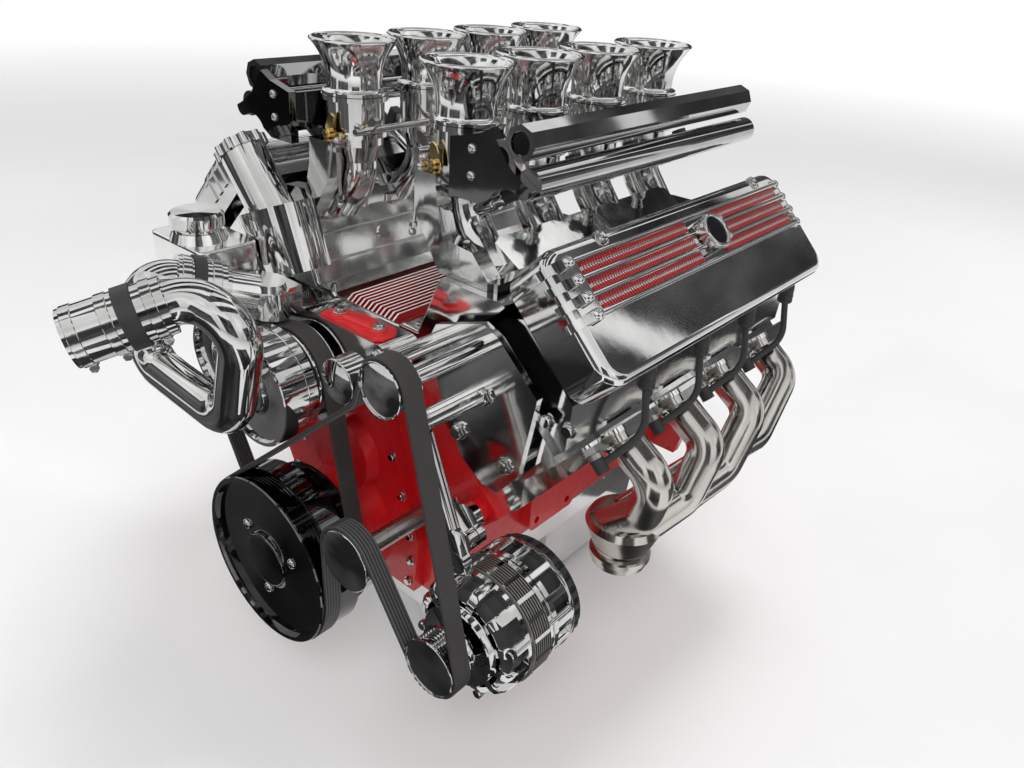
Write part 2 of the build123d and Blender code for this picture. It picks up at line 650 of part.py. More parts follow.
def throttle_plates():
    with BuildPart() as plates:
        for bore in bores:
            with BuildSketch(Plane.XY.offset(throttle_z - plate_thickness / 2)):
                with Locations((stack_x, bore)):
                    Circle(throat_radius - seat_gap)
            extrude(amount=plate_thickness)
    return plates.part


def flare(radius, low, rim, high):
    """Points along the arc that leaves the throat straight up and ends at the rim."""
    across, up = rim - radius, high - low
    arc = (across ** 2 + up ** 2) / (2 * across)
    turns = [math.asin(up / arc) * n / flare_steps for n in range(flare_steps + 1)]
    return [(radius + arc * (1 - math.cos(turn)), low + arc * math.sin(turn)) for turn in turns]


def velocity_stacks():
    low = stack_seam + seat_gap
    neck = low + stack_neck
    lip_z = stack_top - lip_radius
    outer_throat = throat_radius + stack_wall
    turns = [math.pi * n / lip_steps for n in range(1, lip_steps)]
    lip = [(rim_radius - lip_radius * (1 - math.cos(turn)), lip_z + lip_radius * math.sin(turn))
           for turn in turns]
    flange = body_flange_radius - 1
    profile = ([(throat_radius, low), (flange, low), (flange, low + stack_flange),
                (outer_throat, low + stack_flange)]
               + flare(outer_throat, neck, rim_radius, lip_z) + lip
               + flare(throat_radius, neck, rim_radius - 2 * lip_radius, lip_z)[::-1])
    with BuildPart() as stacks:
        for bore in bores:
            with BuildSketch(flat_plane(bore, stack_x, 0)):
                with BuildLine():
                    Polyline(*profile, close=True)
                make_face()
            revolve(axis=Axis((stack_x, bore, 0), (0, 0, 1)))
    return stacks.part


def fuel_rails():
    length = rail_front - rail_rear
    with BuildPart() as rails:
        with BuildSketch(flat_plane(-rail_rear)):
            with Locations((rail_x, rail_z)):
                RegularPolygon(rail_radius, 8, major_radius=False)
            with Locations((low_rail_x, low_rail_z)):
                Circle(low_rail_radius)
        extrude(amount=length)
        with Locations(flat_plane(-rail_front, rail_x, rail_z)):
            Hole(rail_dimple, depth=rail_dimple_depth)
    return rails.part


def rail_plate():
    """The rails' front plate, with a tab back to the first throttle body's flanges."""
    tab_x = stack_x + body_flange_radius + seat_gap
    high, low = shifted(plate_high, rail_x, rail_z), shifted(plate_low, low_rail_x, low_rail_z)
    with BuildPart() as plate:
        with BuildSketch(flat_plane(-rail_front - seat_gap)):
            with BuildLine():
                start = (tab_x, rail_z - plate_foot)
                Polyline(start, (tab_x, rail_z - plate_head), *high)
                TangentArc(high[-1], low[0], tangent=(0.8, -0.6))
                ThreePointArc(*low[:3])
                ThreePointArc(*low[2:5])
                Polyline(*low[4:], start)
            make_face()
        extrude(amount=plate_thick)
        with BuildSketch(flat_plane(bores[-1] + plate_tab_back)):
            with Locations((tab_x + plate_tab_thick / 2, (body_top + body_bottom) / 2)):
                Rectangle(plate_tab_thick, body_top - body_bottom - 2)
        extrude(amount=rail_past_front + seat_gap + plate_tab_back + plate_thick)
    return plate.part


def injectors():
    with BuildPart() as bodies:
        for bore in bores:
            start, way, length = injector_line(bore)
            with BuildSketch(Plane(origin=start + way * (injector_boss + seat_gap), z_dir=way)):
                Circle(injector_radius)
            extrude(amount=length - low_rail_radius - injector_boss - 2 * seat_gap)
    return bodies.part


def throttle_linkage():
    """A shaft beside each row, with a lever at every throttle body."""
    x = stack_x - body_radius - seat_gap - linkage_radius
    with BuildPart() as linkage:
        with BuildSketch(flat_plane(bores[0] + 20, x, linkage_z)):
            Circle(linkage_radius)
        extrude(amount=bores[0] - bores[-1] + 52)
        for bore in bores:
            with BuildSketch(flat_plane(bore - lever_back, x - lever_in, linkage_z + lever_in)):
                SlotCenterToCenter(lever_length, lever_width, rotation=135)
            extrude(amount=lever_thick)
    return linkage.part


def port_point():
    """Where the tubes leave their flanges, as across and up."""
    return bank(deck_height + port_up, head_outer + port_pad_thick + header_flange_thick - tube_sunk)


def header_route(n, bore):
    """One primary tube: out of its port, over and down, then in to the collector."""
    x, z = port_point()
    y = bore + port_offset
    bends = [(x + out, y - forward, z - down) for out, forward, down in header_bends[n]]
    spread_x, spread_y = header_ends[n]
    end = (x + collector_out + spread_x, middle_bore - collector_ahead - spread_y,
           z - collector_drop + tube_end)
    return [(x, y, z), *bends, end]


def header():
    face = head_outer + port_pad_thick + seat_gap
    x, z = port_point()
    x, y, low = x + collector_out, middle_bore - collector_ahead, z - collector_drop
    with BuildPart() as tubes:
        for n, bore in enumerate(reversed(bores)):
            with BuildSketch(side_plane(deck_height + port_up, face, bore + port_offset)):
                RectangleRounded(header_flange_long, header_flange_tall, foot_corner)
            extrude(amount=header_flange_thick)
            with BuildLine() as path:
                FilletPolyline(*header_route(n, bore), radius=tube_bend)
            with BuildSketch(Plane(origin=path.line @ 0, z_dir=path.line % 0)):
                Circle(tube_radius)
            sweep(path=path.line)
        with BuildSketch(flat_plane(y, x, low)):
            with BuildLine():
                Polyline((0, 0), (collector_radius, 0), (collector_radius, bead_low),
                         (bead_radius, bead_low), (bead_radius, bead_high), (collector_radius, bead_high),
                         (collector_radius + 2, collector_neck), (funnel_radius, funnel_tall - funnel_lip),
                         (funnel_radius - funnel_lip / 2, funnel_tall), (0, funnel_tall), close=True)
            make_face()
        revolve(axis=Axis((x, y, 0), (0, 0, 1)))
        with BuildSketch(Plane.XY.offset(low)):
            with Locations((x, y)):
                Circle(collector_bore)
        extrude(amount=collector_depth, mode=Mode.SUBTRACT)
    return tubes.part


def spark_plugs():
    out = head_outer + plug_pad_thick + seat_gap
    with BuildPart() as plugs:
        for bore in bores:
            with BuildSketch(side_plane(deck_height + plug_up, out, bore + plug_offset)):
                Circle(plug_radius)
            extrude(amount=plug_length)
    return plugs.part


def plug_leads():
    """For each plug a hanging boot from its coil, a lead, and a short boot on the plug."""
    tip_out = head_outer + plug_pad_thick + 2 * seat_gap + plug_length
    boot_up = shroud_bottom + boot_rise
    tx, tz = bank(boot_up, coil_outer + seat_gap)
    boot_x, drop = tx + boot_across, tz - boot_across
    boot_low = drop - boot_hang
    px, pz = bank(deck_height + plug_up, tip_out + plug_radius)
    with BuildPart() as leads:
        for bore in bores:
            y = bore + lead_offset
            with BuildLine() as hang:
                FilletPolyline((tx, y, tz), (boot_x, y, drop), (boot_x, y, boot_low), radius=boot_bend)
            with BuildSketch(Plane(origin=hang.line @ 0, z_dir=hang.line % 0)):
                Circle(boot_radius)
            sweep(path=hang.line)
            with BuildLine() as path:
                FilletPolyline((boot_x, y, boot_low + lead_radius),
                               (boot_x + lead_across, y - lead_along, boot_low - lead_sag),
                               (px, bore + plug_offset, pz), radius=lead_bend)
            with BuildSketch(Plane(origin=path.line @ 0, z_dir=path.line % 0)):
                Circle(lead_radius)
            sweep(path=path.line)
            with BuildSketch(side_plane(deck_height + plug_up, tip_out, bore + plug_offset)):
                Circle(plug_radius)
            extrude(amount=plug_boot)
    return leads.part


def belt_path(wheels, out):
    """Lines and arcs round the wheels, a distance out from the ribs.  Side is 1 inside, -1 outside."""
    total = belt_thickness + 2 * belt_gap
    loop = []
    count = len(wheels)
    for n in range(count):
        x1, z1, r1, s1 = wheels[n]
        x2, z2, r2, s2 = wheels[(n + 1) % count]
        r1 += out if s1 > 0 else total - out
        r2 += out if s2 > 0 else total - out
        apart = math.hypot(x2 - x1, z2 - z1)
        along = math.atan2(z2 - z1, x2 - x1) - math.asin((s2 * r2 - s1 * r1) / apart)
        nx, nz = -math.sin(along), math.cos(along)
        loop.append(((x1 - s1 * r1 * nx, z1 - s1 * r1 * nz), (x2 - s2 * r2 * nx, z2 - s2 * r2 * nz)))
    for n in range(count):
        start, end = loop[n]
        Line(start, end)
        x, z, r, side = wheels[(n + 1) % count]
        r += out if side > 0 else total - out
        leave = loop[(n + 1) % count][0]
        a0 = math.atan2(end[1] - z, end[0] - x)
        a1 = math.atan2(leave[1] - z, leave[0] - x)
        turn = (a1 - a0) % (2 * math.pi) if side > 0 else -((a0 - a1) % (2 * math.pi))
        mid = a0 + turn / 2
        ThreePointArc(end, (x + r * math.cos(mid), z + r * math.sin(mid)), leave)


def belt(wheels, y, name):
    with BuildPart() as band:
        with BuildSketch(flat_plane(-y + belt_width / 2)):
            with BuildLine():
                belt_path(wheels, belt_gap + belt_thickness)
            make_face()
            with BuildLine():
                belt_path(wheels, belt_gap)
            make_face(mode=Mode.SUBTRACT)
        extrude(amount=belt_width)
    write(band.part, name)


def pulley(name, x, z, profile):
    """A wheel turned about an axis along Y.  The profile is radius and distance forward."""
    with BuildPart() as wheel:
        with BuildSketch(Plane(origin=(x, 0, z), x_dir=(1, 0, 0), z_dir=(0, 0, 1))):
            with BuildLine():
                Polyline(*[(r, -y) for r, y in profile], close=True)
            make_face()
        revolve(axis=Axis((x, 0, z), (0, 1, 0)))
    write(wheel.part, name)


def band_rings(radius, y):
    """Two flanges with the belt's seat between them."""
    half = belt_width / 2 + flange_side
    rim = radius + pulley_flange
    return [(rim, y - half - flange_land), (rim, y - half), (radius, y - half),
            (radius, y + half), (rim, y + half), (rim, y + half + flange_land)]


def front_drive():
    (alt_x, alt_z), _, _, (idler_x, idler_z) = hung_on_boss()
    front_wheels = [(0, 0, crank_rib_radius, 1), (idler_x, idler_z, idler_radius, -1),
                    (alt_x, alt_z, alt_rib_radius, 1), (top_x, top_z, top_rib_radius, 1),
                    (back_x, back_z, back_radius, -1)]
    rear_wheels = [(0, 0, rear_rib_radius, 1), (pump_x, pump_z, pump_rib_radius, 1),
                   (steer_x, steer_z, steer_rib_radius, 1)]
    belt(front_wheels, front_belt_y, "front_belt")
    belt(rear_wheels, rear_belt_y, "rear_belt")
    reach = belt_width / 2 + flange_side + flange_land
    rear_back, rear_face = rear_belt_y - reach, rear_belt_y + reach
    back, face = front_belt_y - reach, front_belt_y + reach
    nose = timing_front + seat_gap
    hub = pump_front + seat_gap
    drum_back = rear_face + drum_step
    drum_face = drum_back + drum_length
    alt_seat = block_length + alt_front_ahead + seat_gap
    pulley("crank_pulley", 0, 0,
           [(0, nose), (crank_hub, nose), (crank_hub, rear_back)] + band_rings(rear_rib_radius, rear_belt_y)
           + [(crank_rim_radius, rear_face)] + band_rings(crank_rib_radius, front_belt_y)
           + [(crank_rim_radius, crank_front), (0, crank_front)])
    pulley("pump_pulley", pump_x, pump_z,
           [(0, hub), (pump_hub, hub), (pump_hub, rear_back)] + band_rings(pump_rib_radius, rear_belt_y)
           + [(drum_radius, drum_back), (drum_radius, drum_face), (0, drum_face)])
    for name, x, z, radius in (("lower_idler", idler_x, idler_z, idler_radius),
                               ("upper_idler", back_x, back_z, back_radius)):
        pulley(name, x, z, [(0, back), (radius, back), (radius, face), (0, face)])
    pulley("alternator_pulley", alt_x, alt_z,
           [(0, alt_seat), (alt_hub, alt_seat), (alt_hub, back)] + band_rings(alt_rib_radius, front_belt_y)
           + [(0, face)])
    pulley("top_pulley", top_x, top_z, [(0, back)] + band_rings(top_rib_radius, front_belt_y) + [(0, face)])
    pulley("steering_pulley", steer_x, steer_z,
           [(0, hub), (steer_hub, hub), (steer_hub, rear_back)] + band_rings(steer_rib_radius, rear_belt_y)
           + [(0, rear_face)])


def rod_between(x1, z1, x2, z2, ahead, radius, gap1, gap2):
    """A round bar across the front, from gap1 short of the first point to gap2 short of the second."""
    y = -block_length - ahead
    start, end = Vector(x1, y, z1), Vector(x2, y, z2)
    way = (end - start).normalized()
    with BuildSketch(Plane(origin=start + way * gap1, z_dir=way)) as disc:
        Circle(radius)
    extrude(disc.sketch, amount=(end - start).length - gap1 - gap2)


def stud(x, z, radius, near, far):
    """A round bar along Y, from near to far ahead of the block's front face."""
    with BuildSketch(ahead_plane(near, x, z)) as disc:
        Circle(radius)
    extrude(disc.sketch, amount=far - near)


def water_pump():
    neck_y = -block_length - neck_ahead
    neck_root = pump_front_ahead - neck_step
    neck_top = neck_high - neck_step
    with BuildPart() as pump:
        stud(pump_x, pump_z, pump_radius, pump_back_ahead, pump_front_ahead)
        with BuildSketch(ahead_plane(pump_back_ahead)):
            with Locations(((cross_left + cross_right) / 2, (cross_low + cross_high) / 2)):
                RectangleRounded(cross_right - cross_left, cross_high - cross_low, cross_corner)
        extrude(amount=pump_front - pump_back)
        for side in (1, -1):
            stud(side * leg_x, leg_z, leg_radius, seat_gap, pump_back_ahead + 2)
        with BuildSketch(Plane.XY.offset(neck_low)):
            with Locations((neck_x, neck_y)):
                Ellipse(neck_half_x, neck_half_y)
            with Locations((neck_x, neck_y + (neck_ahead - neck_root) / 2)):
                Rectangle(2 * (neck_half_x - neck_step), neck_ahead - neck_root)
        extrude(amount=neck_top - neck_low)
        with BuildSketch(Plane.XY.offset(neck_top)):
            with Locations((neck_x, neck_y)):
                Ellipse(neck_half_x - 2, neck_half_y - 2)
        extrude(amount=neck_step, taper=12)
        end, turn = Vector(*pipe_route[-1]), Vector(*pipe_route[-2])
        way = (end - turn).normalized()
        with BuildSketch(Plane(origin=end + way * seat_gap, z_dir=way)) as spigot:
            Circle(spigot_radius)
        extrude(spigot.sketch, amount=spigot_length)
    write(pump.part, "water_pump")


def pipe_line():
    with BuildLine() as path:
        FilletPolyline(*pipe_route, radius=pipe_bends)
    return path.line


def radiator_pipe():
    path = pipe_line()
    with BuildPart() as pipe:
        with BuildSketch(Plane(origin=path @ 0, z_dir=path % 0)):
            Circle(pipe_radius)
        sweep(path=path)
        with BuildSketch(Plane(origin=path @ 0, z_dir=path % 0)):
            Circle(pipe_bore)
        extrude(amount=pipe_open, mode=Mode.SUBTRACT)
    write(pipe.part, "radiator_pipe")


def pipe_rings(spans, wall):
    """Rings on the pipe's straight ends.  A span is the end, 0 or -1, then from and to along the run."""
    for end, near, far in spans:
        first, second = (pipe_route[0], pipe_route[1]) if end == 0 else (pipe_route[-1], pipe_route[-2])
        way = (Vector(*second) - Vector(*first)).normalized()
        with BuildSketch(Plane(origin=Vector(*first) + way * near, z_dir=way)) as ring:
            Circle(pipe_radius + seat_gap + wall)
            Circle(pipe_radius + seat_gap, mode=Mode.SUBTRACT)
        extrude(ring.sketch, amount=far - near)


def pipe_sleeves():
    end_sleeve, *inner = [(0, *span) for span in front_sleeves] + [(-1, *span) for span in rear_sleeves]
    with BuildPart() as sleeves:
        pipe_rings([end_sleeve], sleeve_wall)
        pipe_rings(inner, inner_sleeve_wall)
    write(sleeves.part, "pipe_sleeves")
    with BuildPart() as bands:
        pipe_rings([(0, *front_band), (-1, *rear_band)], band_wall)
    write(bands.part, "pipe_bands")


def steering_pump():
    tank_front, tank_rear = -block_length - tank_front_ahead, -block_length - tank_rear_ahead
    shelf_y = tank_rear - (tank_front_ahead - tank_rear_ahead) / 2
    cap_y = -block_length - cap_ahead
    with BuildPart() as pump:
        stud(steer_x, steer_z, steer_body_radius, seat_gap, pump_front_ahead)
        with BuildSketch(Plane.YZ.offset(steer_x - arm_left)):
            with BuildLine():
                Polyline((-pump_front + arm_deep, steer_z + arm_low), (-pump_front, steer_z + arm_low),
                         (-pump_front, tank_low - arm_shelf), (shelf_y, tank_low - arm_shelf),
                         (shelf_y, tank_low + 1), (-pump_front + arm_deep, tank_low + 1), close=True)
            make_face()
        extrude(amount=arm_left + arm_right)
        with BuildSketch(Plane.XY.offset(tank_low)):
            with Locations(((tank_left + tank_right) / 2, (tank_front + tank_rear) / 2)):
                RectangleRounded(tank_right - tank_left, tank_rear - tank_front, tank_corner)
        extrude(amount=tank_high - tank_low)
        fillet(pump.faces().sort_by(Axis.Z)[-1].edges(), tank_edge)
        with BuildSketch(Plane.XY.offset(tank_high)):
            with Locations((cap_x, cap_y)):
                Circle(cap_radius + 2)
        extrude(amount=tank_neck, taper=20)
    write(pump.part, "steering_pump")


def reservoir_cap():
    low = tank_high + tank_neck + seat_gap
    grip = cap_height / 4
    cap_y = -block_length - cap_ahead
    with BuildPart() as cap:
        with BuildSketch(flat_plane(cap_y, cap_x, low)):
            with BuildLine():
                Polyline((0, 0), (cap_radius - grip, 0), (cap_radius - grip, grip), (cap_radius, grip + 2),
                         (cap_radius, cap_height - 3), (cap_radius - 3, cap_height), (0, cap_height - 2),
                         close=True)
            make_face()
        revolve(axis=Axis((cap_x, cap_y, 0), (0, 0, 1)))
    write(cap.part, "reservoir_cap")


def leaning(across, z, lean):
    """Plane square to a line on the passenger's side that leans outwards by an angle."""
    tilt = math.radians(lean)
    return Plane(origin=(-stack_x - across, -block_length - filler_ahead, z), x_dir=(0, 1, 0),
                 z_dir=(-math.sin(tilt), 0, math.cos(tilt)))


def filler_housing():
    """A wide housing bolted to the intake's front, with a leaning spout and a lobed cap."""
    body = leaning(filler_across, peak_z - filler_drop, filler_lean)
    spout = leaning(spout_across, peak_z + spout_rise, spout_lean)
    with BuildPart() as filler:
        with BuildSketch(body):
            Circle(filler_low_radius)
        with BuildSketch(body.offset(filler_length)):
            Circle(filler_high_radius)
        loft()
        with BuildSketch(spout.offset(-spout_root)):
            Circle(spout_radius)
        extrude(amount=spout_length + spout_root)
        with BuildSketch(flat_plane(bores[-1] - base_past_front - seat_gap + block_length)):
            Rectangle(4 * block_length, 4 * block_length)
        extrude(amount=block_length, mode=Mode.SUBTRACT)
    write(filler.part, "filler_housing")
    with BuildPart() as cap:
        with BuildSketch(spout.offset(spout_length + seat_gap)):
            Circle(spout_radius + 1)
            with PolarLocations(spout_radius, filler_lobes):
                Circle(filler_lobe)
        extrude(amount=filler_cap_thick)
    write(cap.part, "filler_cap")


def alternator():
    (x, z), (ear_x, ear_z), (pivot_x, pivot_z), _ = hung_on_boss()
    rear_shell, front_shell = split_rear_ahead - seat_gap, split_front_ahead + seat_gap
    lug = boss_depth + pivot_thick + 2 * seat_gap
    with BuildPart() as case:
        stud(x, z, alt_case_radius, alt_rear_ahead, rear_shell)
        stud(x, z, alt_case_radius, front_shell, alt_front_ahead - alt_nose)
        stud(x, z, split_core, rear_shell - 1, front_shell + 1)
        stud(x, z, alt_nose_radius, alt_front_ahead - alt_nose, alt_front_ahead - alt_step)
        stud(x, z, alt_hub_radius, alt_front_ahead - alt_step, alt_front_ahead)
        ear = rod_ahead + ear_thick / 3
        stud(ear_x, ear_z, ear_radius, ear, ear + ear_thick)
        with BuildSketch(ahead_plane(ear, (ear_x + x) / 2, (ear_z + z) / 2 + ear_radius)):
            Rectangle(2 * ear_radius - 2, 4 * ear_radius, rotation=21)
        extrude(amount=ear_thick)
        stud(pivot_x, pivot_z, pivot_radius, lug, rear_shell)
        web_x, web_z = (pivot_x + x - pivot_radius) / 2, (pivot_z + z + pivot_radius) / 2
        with BuildSketch(ahead_plane(lug, web_x, web_z)):
            Rectangle(4 * pivot_radius, 1.5 * pivot_radius, rotation=-45)
        extrude(amount=rear_shell - lug)
    write(case.part, "alternator_case")
    with BuildPart() as stator:
        stud(x, z, alt_case_radius + split_proud, split_rear_ahead, split_front_ahead)
        with BuildSketch(ahead_plane(split_rear_ahead, x, z)):
            Circle(split_core + seat_gap)
        extrude(amount=split_front_ahead - split_rear_ahead, mode=Mode.SUBTRACT)
    write(stator.part, "alternator_stator")


def pulley_bracket():
    """Polished plate on the driver's head, with posts to the upper pulleys and the adjuster."""
    front = seat_gap + bracket_thick
    wheel_back = front_belt_ahead - belt_width / 2 - flange_side - flange_land - seat_gap
    head_ahead = -head_front_y - block_length + seat_gap
    with BuildPart() as bracket:
        with BuildSketch(ahead_plane(seat_gap)):
            with BuildLine():
                Polyline(*shifted(bracket_outline, peak_x, peak_z), close=True)
            make_face()
        extrude(amount=bracket_thick)
        for up, out in bracket_posts:
            stud(*bank(deck_height + up, out), post_wide, head_ahead, seat_gap + 1)
        for x, z in ((top_x, top_z), (back_x, back_z)):
            stud(x, z, post_wide, front - 1, wheel_back)
        stud(arm_x, arm_z, arm_radius, front - 1, rod_ahead + ear_thick)
    write(bracket.part, "pulley_bracket")


def alternator_bracket():
    high, low = block_bosses()
    pivot = hung_on_boss()[2]
    (x1, z1), (x2, z2) = high, low
    edge = boss_radius - 2
    with BuildPart() as bracket:
        with BuildSketch(ahead_plane(boss_depth + seat_gap)):
            for (x, z), radius in ((high, boss_radius + 1), (low, boss_radius + 1), (pivot, pivot_radius)):
                with Locations((x, z)):
                    Circle(radius)
            with BuildLine():
                Polyline((x1 - edge, z1 + edge / 2), (x2 - edge, z2 + edge / 2), (x2 + edge / 2, z2 - edge),
                         (pivot[0] + edge / 2, pivot[1] - edge / 2), (x1 + edge, z1 + edge / 2), close=True)
            make_face()
        extrude(amount=pivot_thick)
    write(bracket.part, "alternator_bracket")


def adjuster_rod():
    ear = hung_on_boss()[1]
    with BuildPart() as rod:
        rod_between(*ear, arm_x, arm_z, rod_ahead + rod_radius, rod_radius,
                    ear_radius + seat_gap, arm_radius + seat_gap)
    write(rod.part, "adjuster_rod")


def idler_shaft():
    x, z = hung_on_boss()[3]
    with BuildPart() as shaft:
        stud(x, z, idler_shaft_radius, seat_gap,
             front_belt_ahead - belt_width / 2 - flange_side - flange_land - seat_gap)
        stud(x, z, idler_foot_radius, seat_gap, idler_foot)
    write(shaft.part, "idler_shaft")


def crank_flange():
    """Stands in the block's seal bore, just below the flywheel face."""
    with BuildPart() as flange:
        stud(0, 0, flange_radius, -block_length + flange_sunk, -block_length + flange_sunk + flange_thick)
        with Locations(Plane(origin=(0, -flange_sunk, 0), z_dir=(0, 1, 0))):
            Hole(pilot_radius, depth=pilot_depth)
            with PolarLocations(flange_circle, flange_bolts):
                Hole(flange_hole, depth=flange_thick)
    write(flange.part, "crank_flange")


engine_block()
oil_pan()
timing_cover()
write_pair(cylinder_head(), "cylinder_head")
write_pair(valve_cover(), "valve_cover")
write_pair(coil_packs(), "coil_packs")
write_pair(coil_cover(), "coil_cover")
write_both(coil_cover_inlay(), "coil_cover_inlays")
write_both(medallion(), "medallions")
intake_base()
valley_ribs()
write_pair(intake_runners(), "intake_runners")
write_pair(throttle_bodies(), "throttle_bodies")
write_both(throttle_plates(), "throttle_plates")
write_pair(velocity_stacks(), "velocity_stacks")
write_pair(fuel_rails(), "fuel_rails")
write_both(rail_plate(), "rail_plates")
write_both(injectors(), "injectors")
write_both(throttle_linkage(), "throttle_linkage")
write_pair(header(), "header")
write_both(spark_plugs(), "spark_plugs")
write_pair(plug_leads(), "plug_leads")
front_drive()
water_pump()
radiator_pipe()
pipe_sleeves()
steering_pump()
reservoir_cap()
filler_housing()
alternator()
pulley_bracket()
alternator_bracket()
adjuster_rod()
idler_shaft()
crank_flange()
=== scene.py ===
import bpy
import json
from math import cos, pi, radians, sin
import numpy as np
from mathutils import Euler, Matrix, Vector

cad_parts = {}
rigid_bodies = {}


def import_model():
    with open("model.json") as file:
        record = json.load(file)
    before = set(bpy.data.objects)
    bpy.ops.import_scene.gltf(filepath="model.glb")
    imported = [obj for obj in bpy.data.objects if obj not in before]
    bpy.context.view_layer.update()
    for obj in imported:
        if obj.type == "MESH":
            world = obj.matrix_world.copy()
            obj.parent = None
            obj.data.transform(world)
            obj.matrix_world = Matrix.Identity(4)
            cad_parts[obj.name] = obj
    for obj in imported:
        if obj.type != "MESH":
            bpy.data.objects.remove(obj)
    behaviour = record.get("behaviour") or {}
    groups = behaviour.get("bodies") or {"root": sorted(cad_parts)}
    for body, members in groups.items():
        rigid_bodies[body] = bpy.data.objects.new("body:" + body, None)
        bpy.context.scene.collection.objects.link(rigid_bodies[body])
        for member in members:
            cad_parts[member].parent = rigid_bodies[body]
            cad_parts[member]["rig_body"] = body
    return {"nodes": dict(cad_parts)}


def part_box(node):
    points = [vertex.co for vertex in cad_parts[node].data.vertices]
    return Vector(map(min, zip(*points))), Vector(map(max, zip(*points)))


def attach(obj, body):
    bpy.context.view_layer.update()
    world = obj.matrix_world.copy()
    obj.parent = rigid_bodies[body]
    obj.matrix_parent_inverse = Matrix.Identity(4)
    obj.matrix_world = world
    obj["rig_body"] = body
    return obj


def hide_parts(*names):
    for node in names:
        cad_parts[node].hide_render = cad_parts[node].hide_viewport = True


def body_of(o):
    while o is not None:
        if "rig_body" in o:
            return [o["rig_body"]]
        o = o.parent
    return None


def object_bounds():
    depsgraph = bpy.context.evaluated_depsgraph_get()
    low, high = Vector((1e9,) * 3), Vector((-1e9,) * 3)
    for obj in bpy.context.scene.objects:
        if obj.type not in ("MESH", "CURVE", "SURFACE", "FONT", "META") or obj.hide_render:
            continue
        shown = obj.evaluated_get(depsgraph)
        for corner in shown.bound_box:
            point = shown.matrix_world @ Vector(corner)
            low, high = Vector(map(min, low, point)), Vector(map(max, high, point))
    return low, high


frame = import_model()
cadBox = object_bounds()
nodes = frame["nodes"]
root = "engine"
mm = 0.001
print("frame loaded", len(nodes), "nodes")

ribPitch = 3.56                        # from rib to rib, on the belts and on their wheels
frontLine, rearLine = 634.0, 583.0     # how far forward the middles of the two belts run


# shader helpers

class Wire:
    # a node's output, on which maths adds more nodes
    def __init__(self, tree, socket):
        self.tree, self.socket = tree, socket

    def maths(self, kind, a, b=None):
        node = self.tree.nodes.new("ShaderNodeMath")
        node.operation = kind
        for n, value in enumerate((a, b)):
            if isinstance(value, Wire):
                self.tree.links.new(value.socket, node.inputs[n])
            elif value is not None:
                node.inputs[n].default_value = value
        return Wire(self.tree, node.outputs[0])

    def __add__(self, other): return self.maths("ADD", self, other)
    def __radd__(self, other): return self.maths("ADD", other, self)
    def __sub__(self, other): return self.maths("SUBTRACT", self, other)
    def __rsub__(self, other): return self.maths("SUBTRACT", other, self)
    def __mul__(self, other): return self.maths("MULTIPLY", self, other)
    def __rmul__(self, other): return self.maths("MULTIPLY", other, self)
    def __pow__(self, other): return self.maths("POWER", self, other)
    def over(self, other): return self.maths("GREATER_THAN", self, other)
    def most(self, other): return self.maths("MAXIMUM", self, other)
    def size(self): return self.maths("ABSOLUTE", self)
    def sine(self): return self.maths("SINE", self)
    def cosine(self): return self.maths("COSINE", self)


class Nodes:
    # adds nodes to one tree.  A socket is given by its name, or by i and its number
    def __init__(self, tree):
        self.tree = tree

    def node(self, kind, settings=None, out=0, **sockets):
        node = self.tree.nodes.new(kind)
        for key, value in (settings or {}).items():
            setattr(node, key, value)
        for key, value in sockets.items():
            numbered = key[0] == "i" and key[1:].isdigit()
            socket = node.inputs[int(key[1:]) if numbered else key.replace("_", " ")]
            if isinstance(value, Wire):
                self.tree.links.new(value.socket, socket)
            else:
                socket.default_value = value
        return Wire(self.tree, node.outputs[out]) if out is not None else None

    def spread(self, value, low, high):
        # 0 below low, 1 above high, straight between
        return self.node("ShaderNodeMapRange", Value=value, From_Min=low, From_Max=high)


class Finish(Nodes):
    # one material: its principled shader and whatever feeds it
    def __init__(self, name, **fixed):
        self.material = bpy.data.materials.new(name)
        self.material.use_nodes = True
        super().__init__(self.material.node_tree)
        self.shader = self.tree.nodes["Principled BSDF"]
        for socket, value in fixed.items():
            self.shader.inputs[socket.replace("_", " ")].default_value = value
        self.place = self.node("ShaderNodeTexCoord", out="Object")

    def axis(self, letter):
        # one coordinate of the place, in metres
        return self.node("ShaderNodeSeparateXYZ", out=letter, Vector=self.place)

    def facing(self, letter):
        # one coordinate of the way the surface looks
        way = self.node("ShaderNodeTexCoord", out="Normal")
        return self.node("ShaderNodeSeparateXYZ", out=letter, Vector=way)

    def noise(self, scale, detail=3.0, rough=0.55, stretch=None):
        place = self.place
        if stretch:
            place = self.node("ShaderNodeMapping", Vector=self.place, Scale=stretch)
        return self.node("ShaderNodeTexNoise", out="Fac", Vector=place, Scale=scale, Detail=detail,
                         Roughness=rough)

    def blend(self, factor, a, b):
        # colour a where the factor is 0, colour b where it is 1
        return self.node("ShaderNodeMix", {"data_type": "RGBA"}, out=2, i0=factor, i6=a, i7=b)

    def feed(self, socket, wire):
        self.tree.links.new(wire.socket, self.shader.inputs[socket])

    def bump(self, height, strength, distance, under=None):
        more = {"Normal": under} if under else {}
        return self.node("ShaderNodeBump", out="Normal", Height=height, Strength=strength,
                         Distance=distance, **more)


finishes = {}


def shade(r, g, b):
    return (r, g, b, 1.0)


def dimmed(tone, share):
    return shade(*[value * share for value in tone])


polish = {"fine": 5, "fineHeight": 0.12, "smear": 70.0, "smearStretch": (1.0, 0.3, 1.0), "smearDull": 0.05,
          "haze": 11.0, "hazeEdges": (0.38, 0.62), "hazeDull": 0.02}


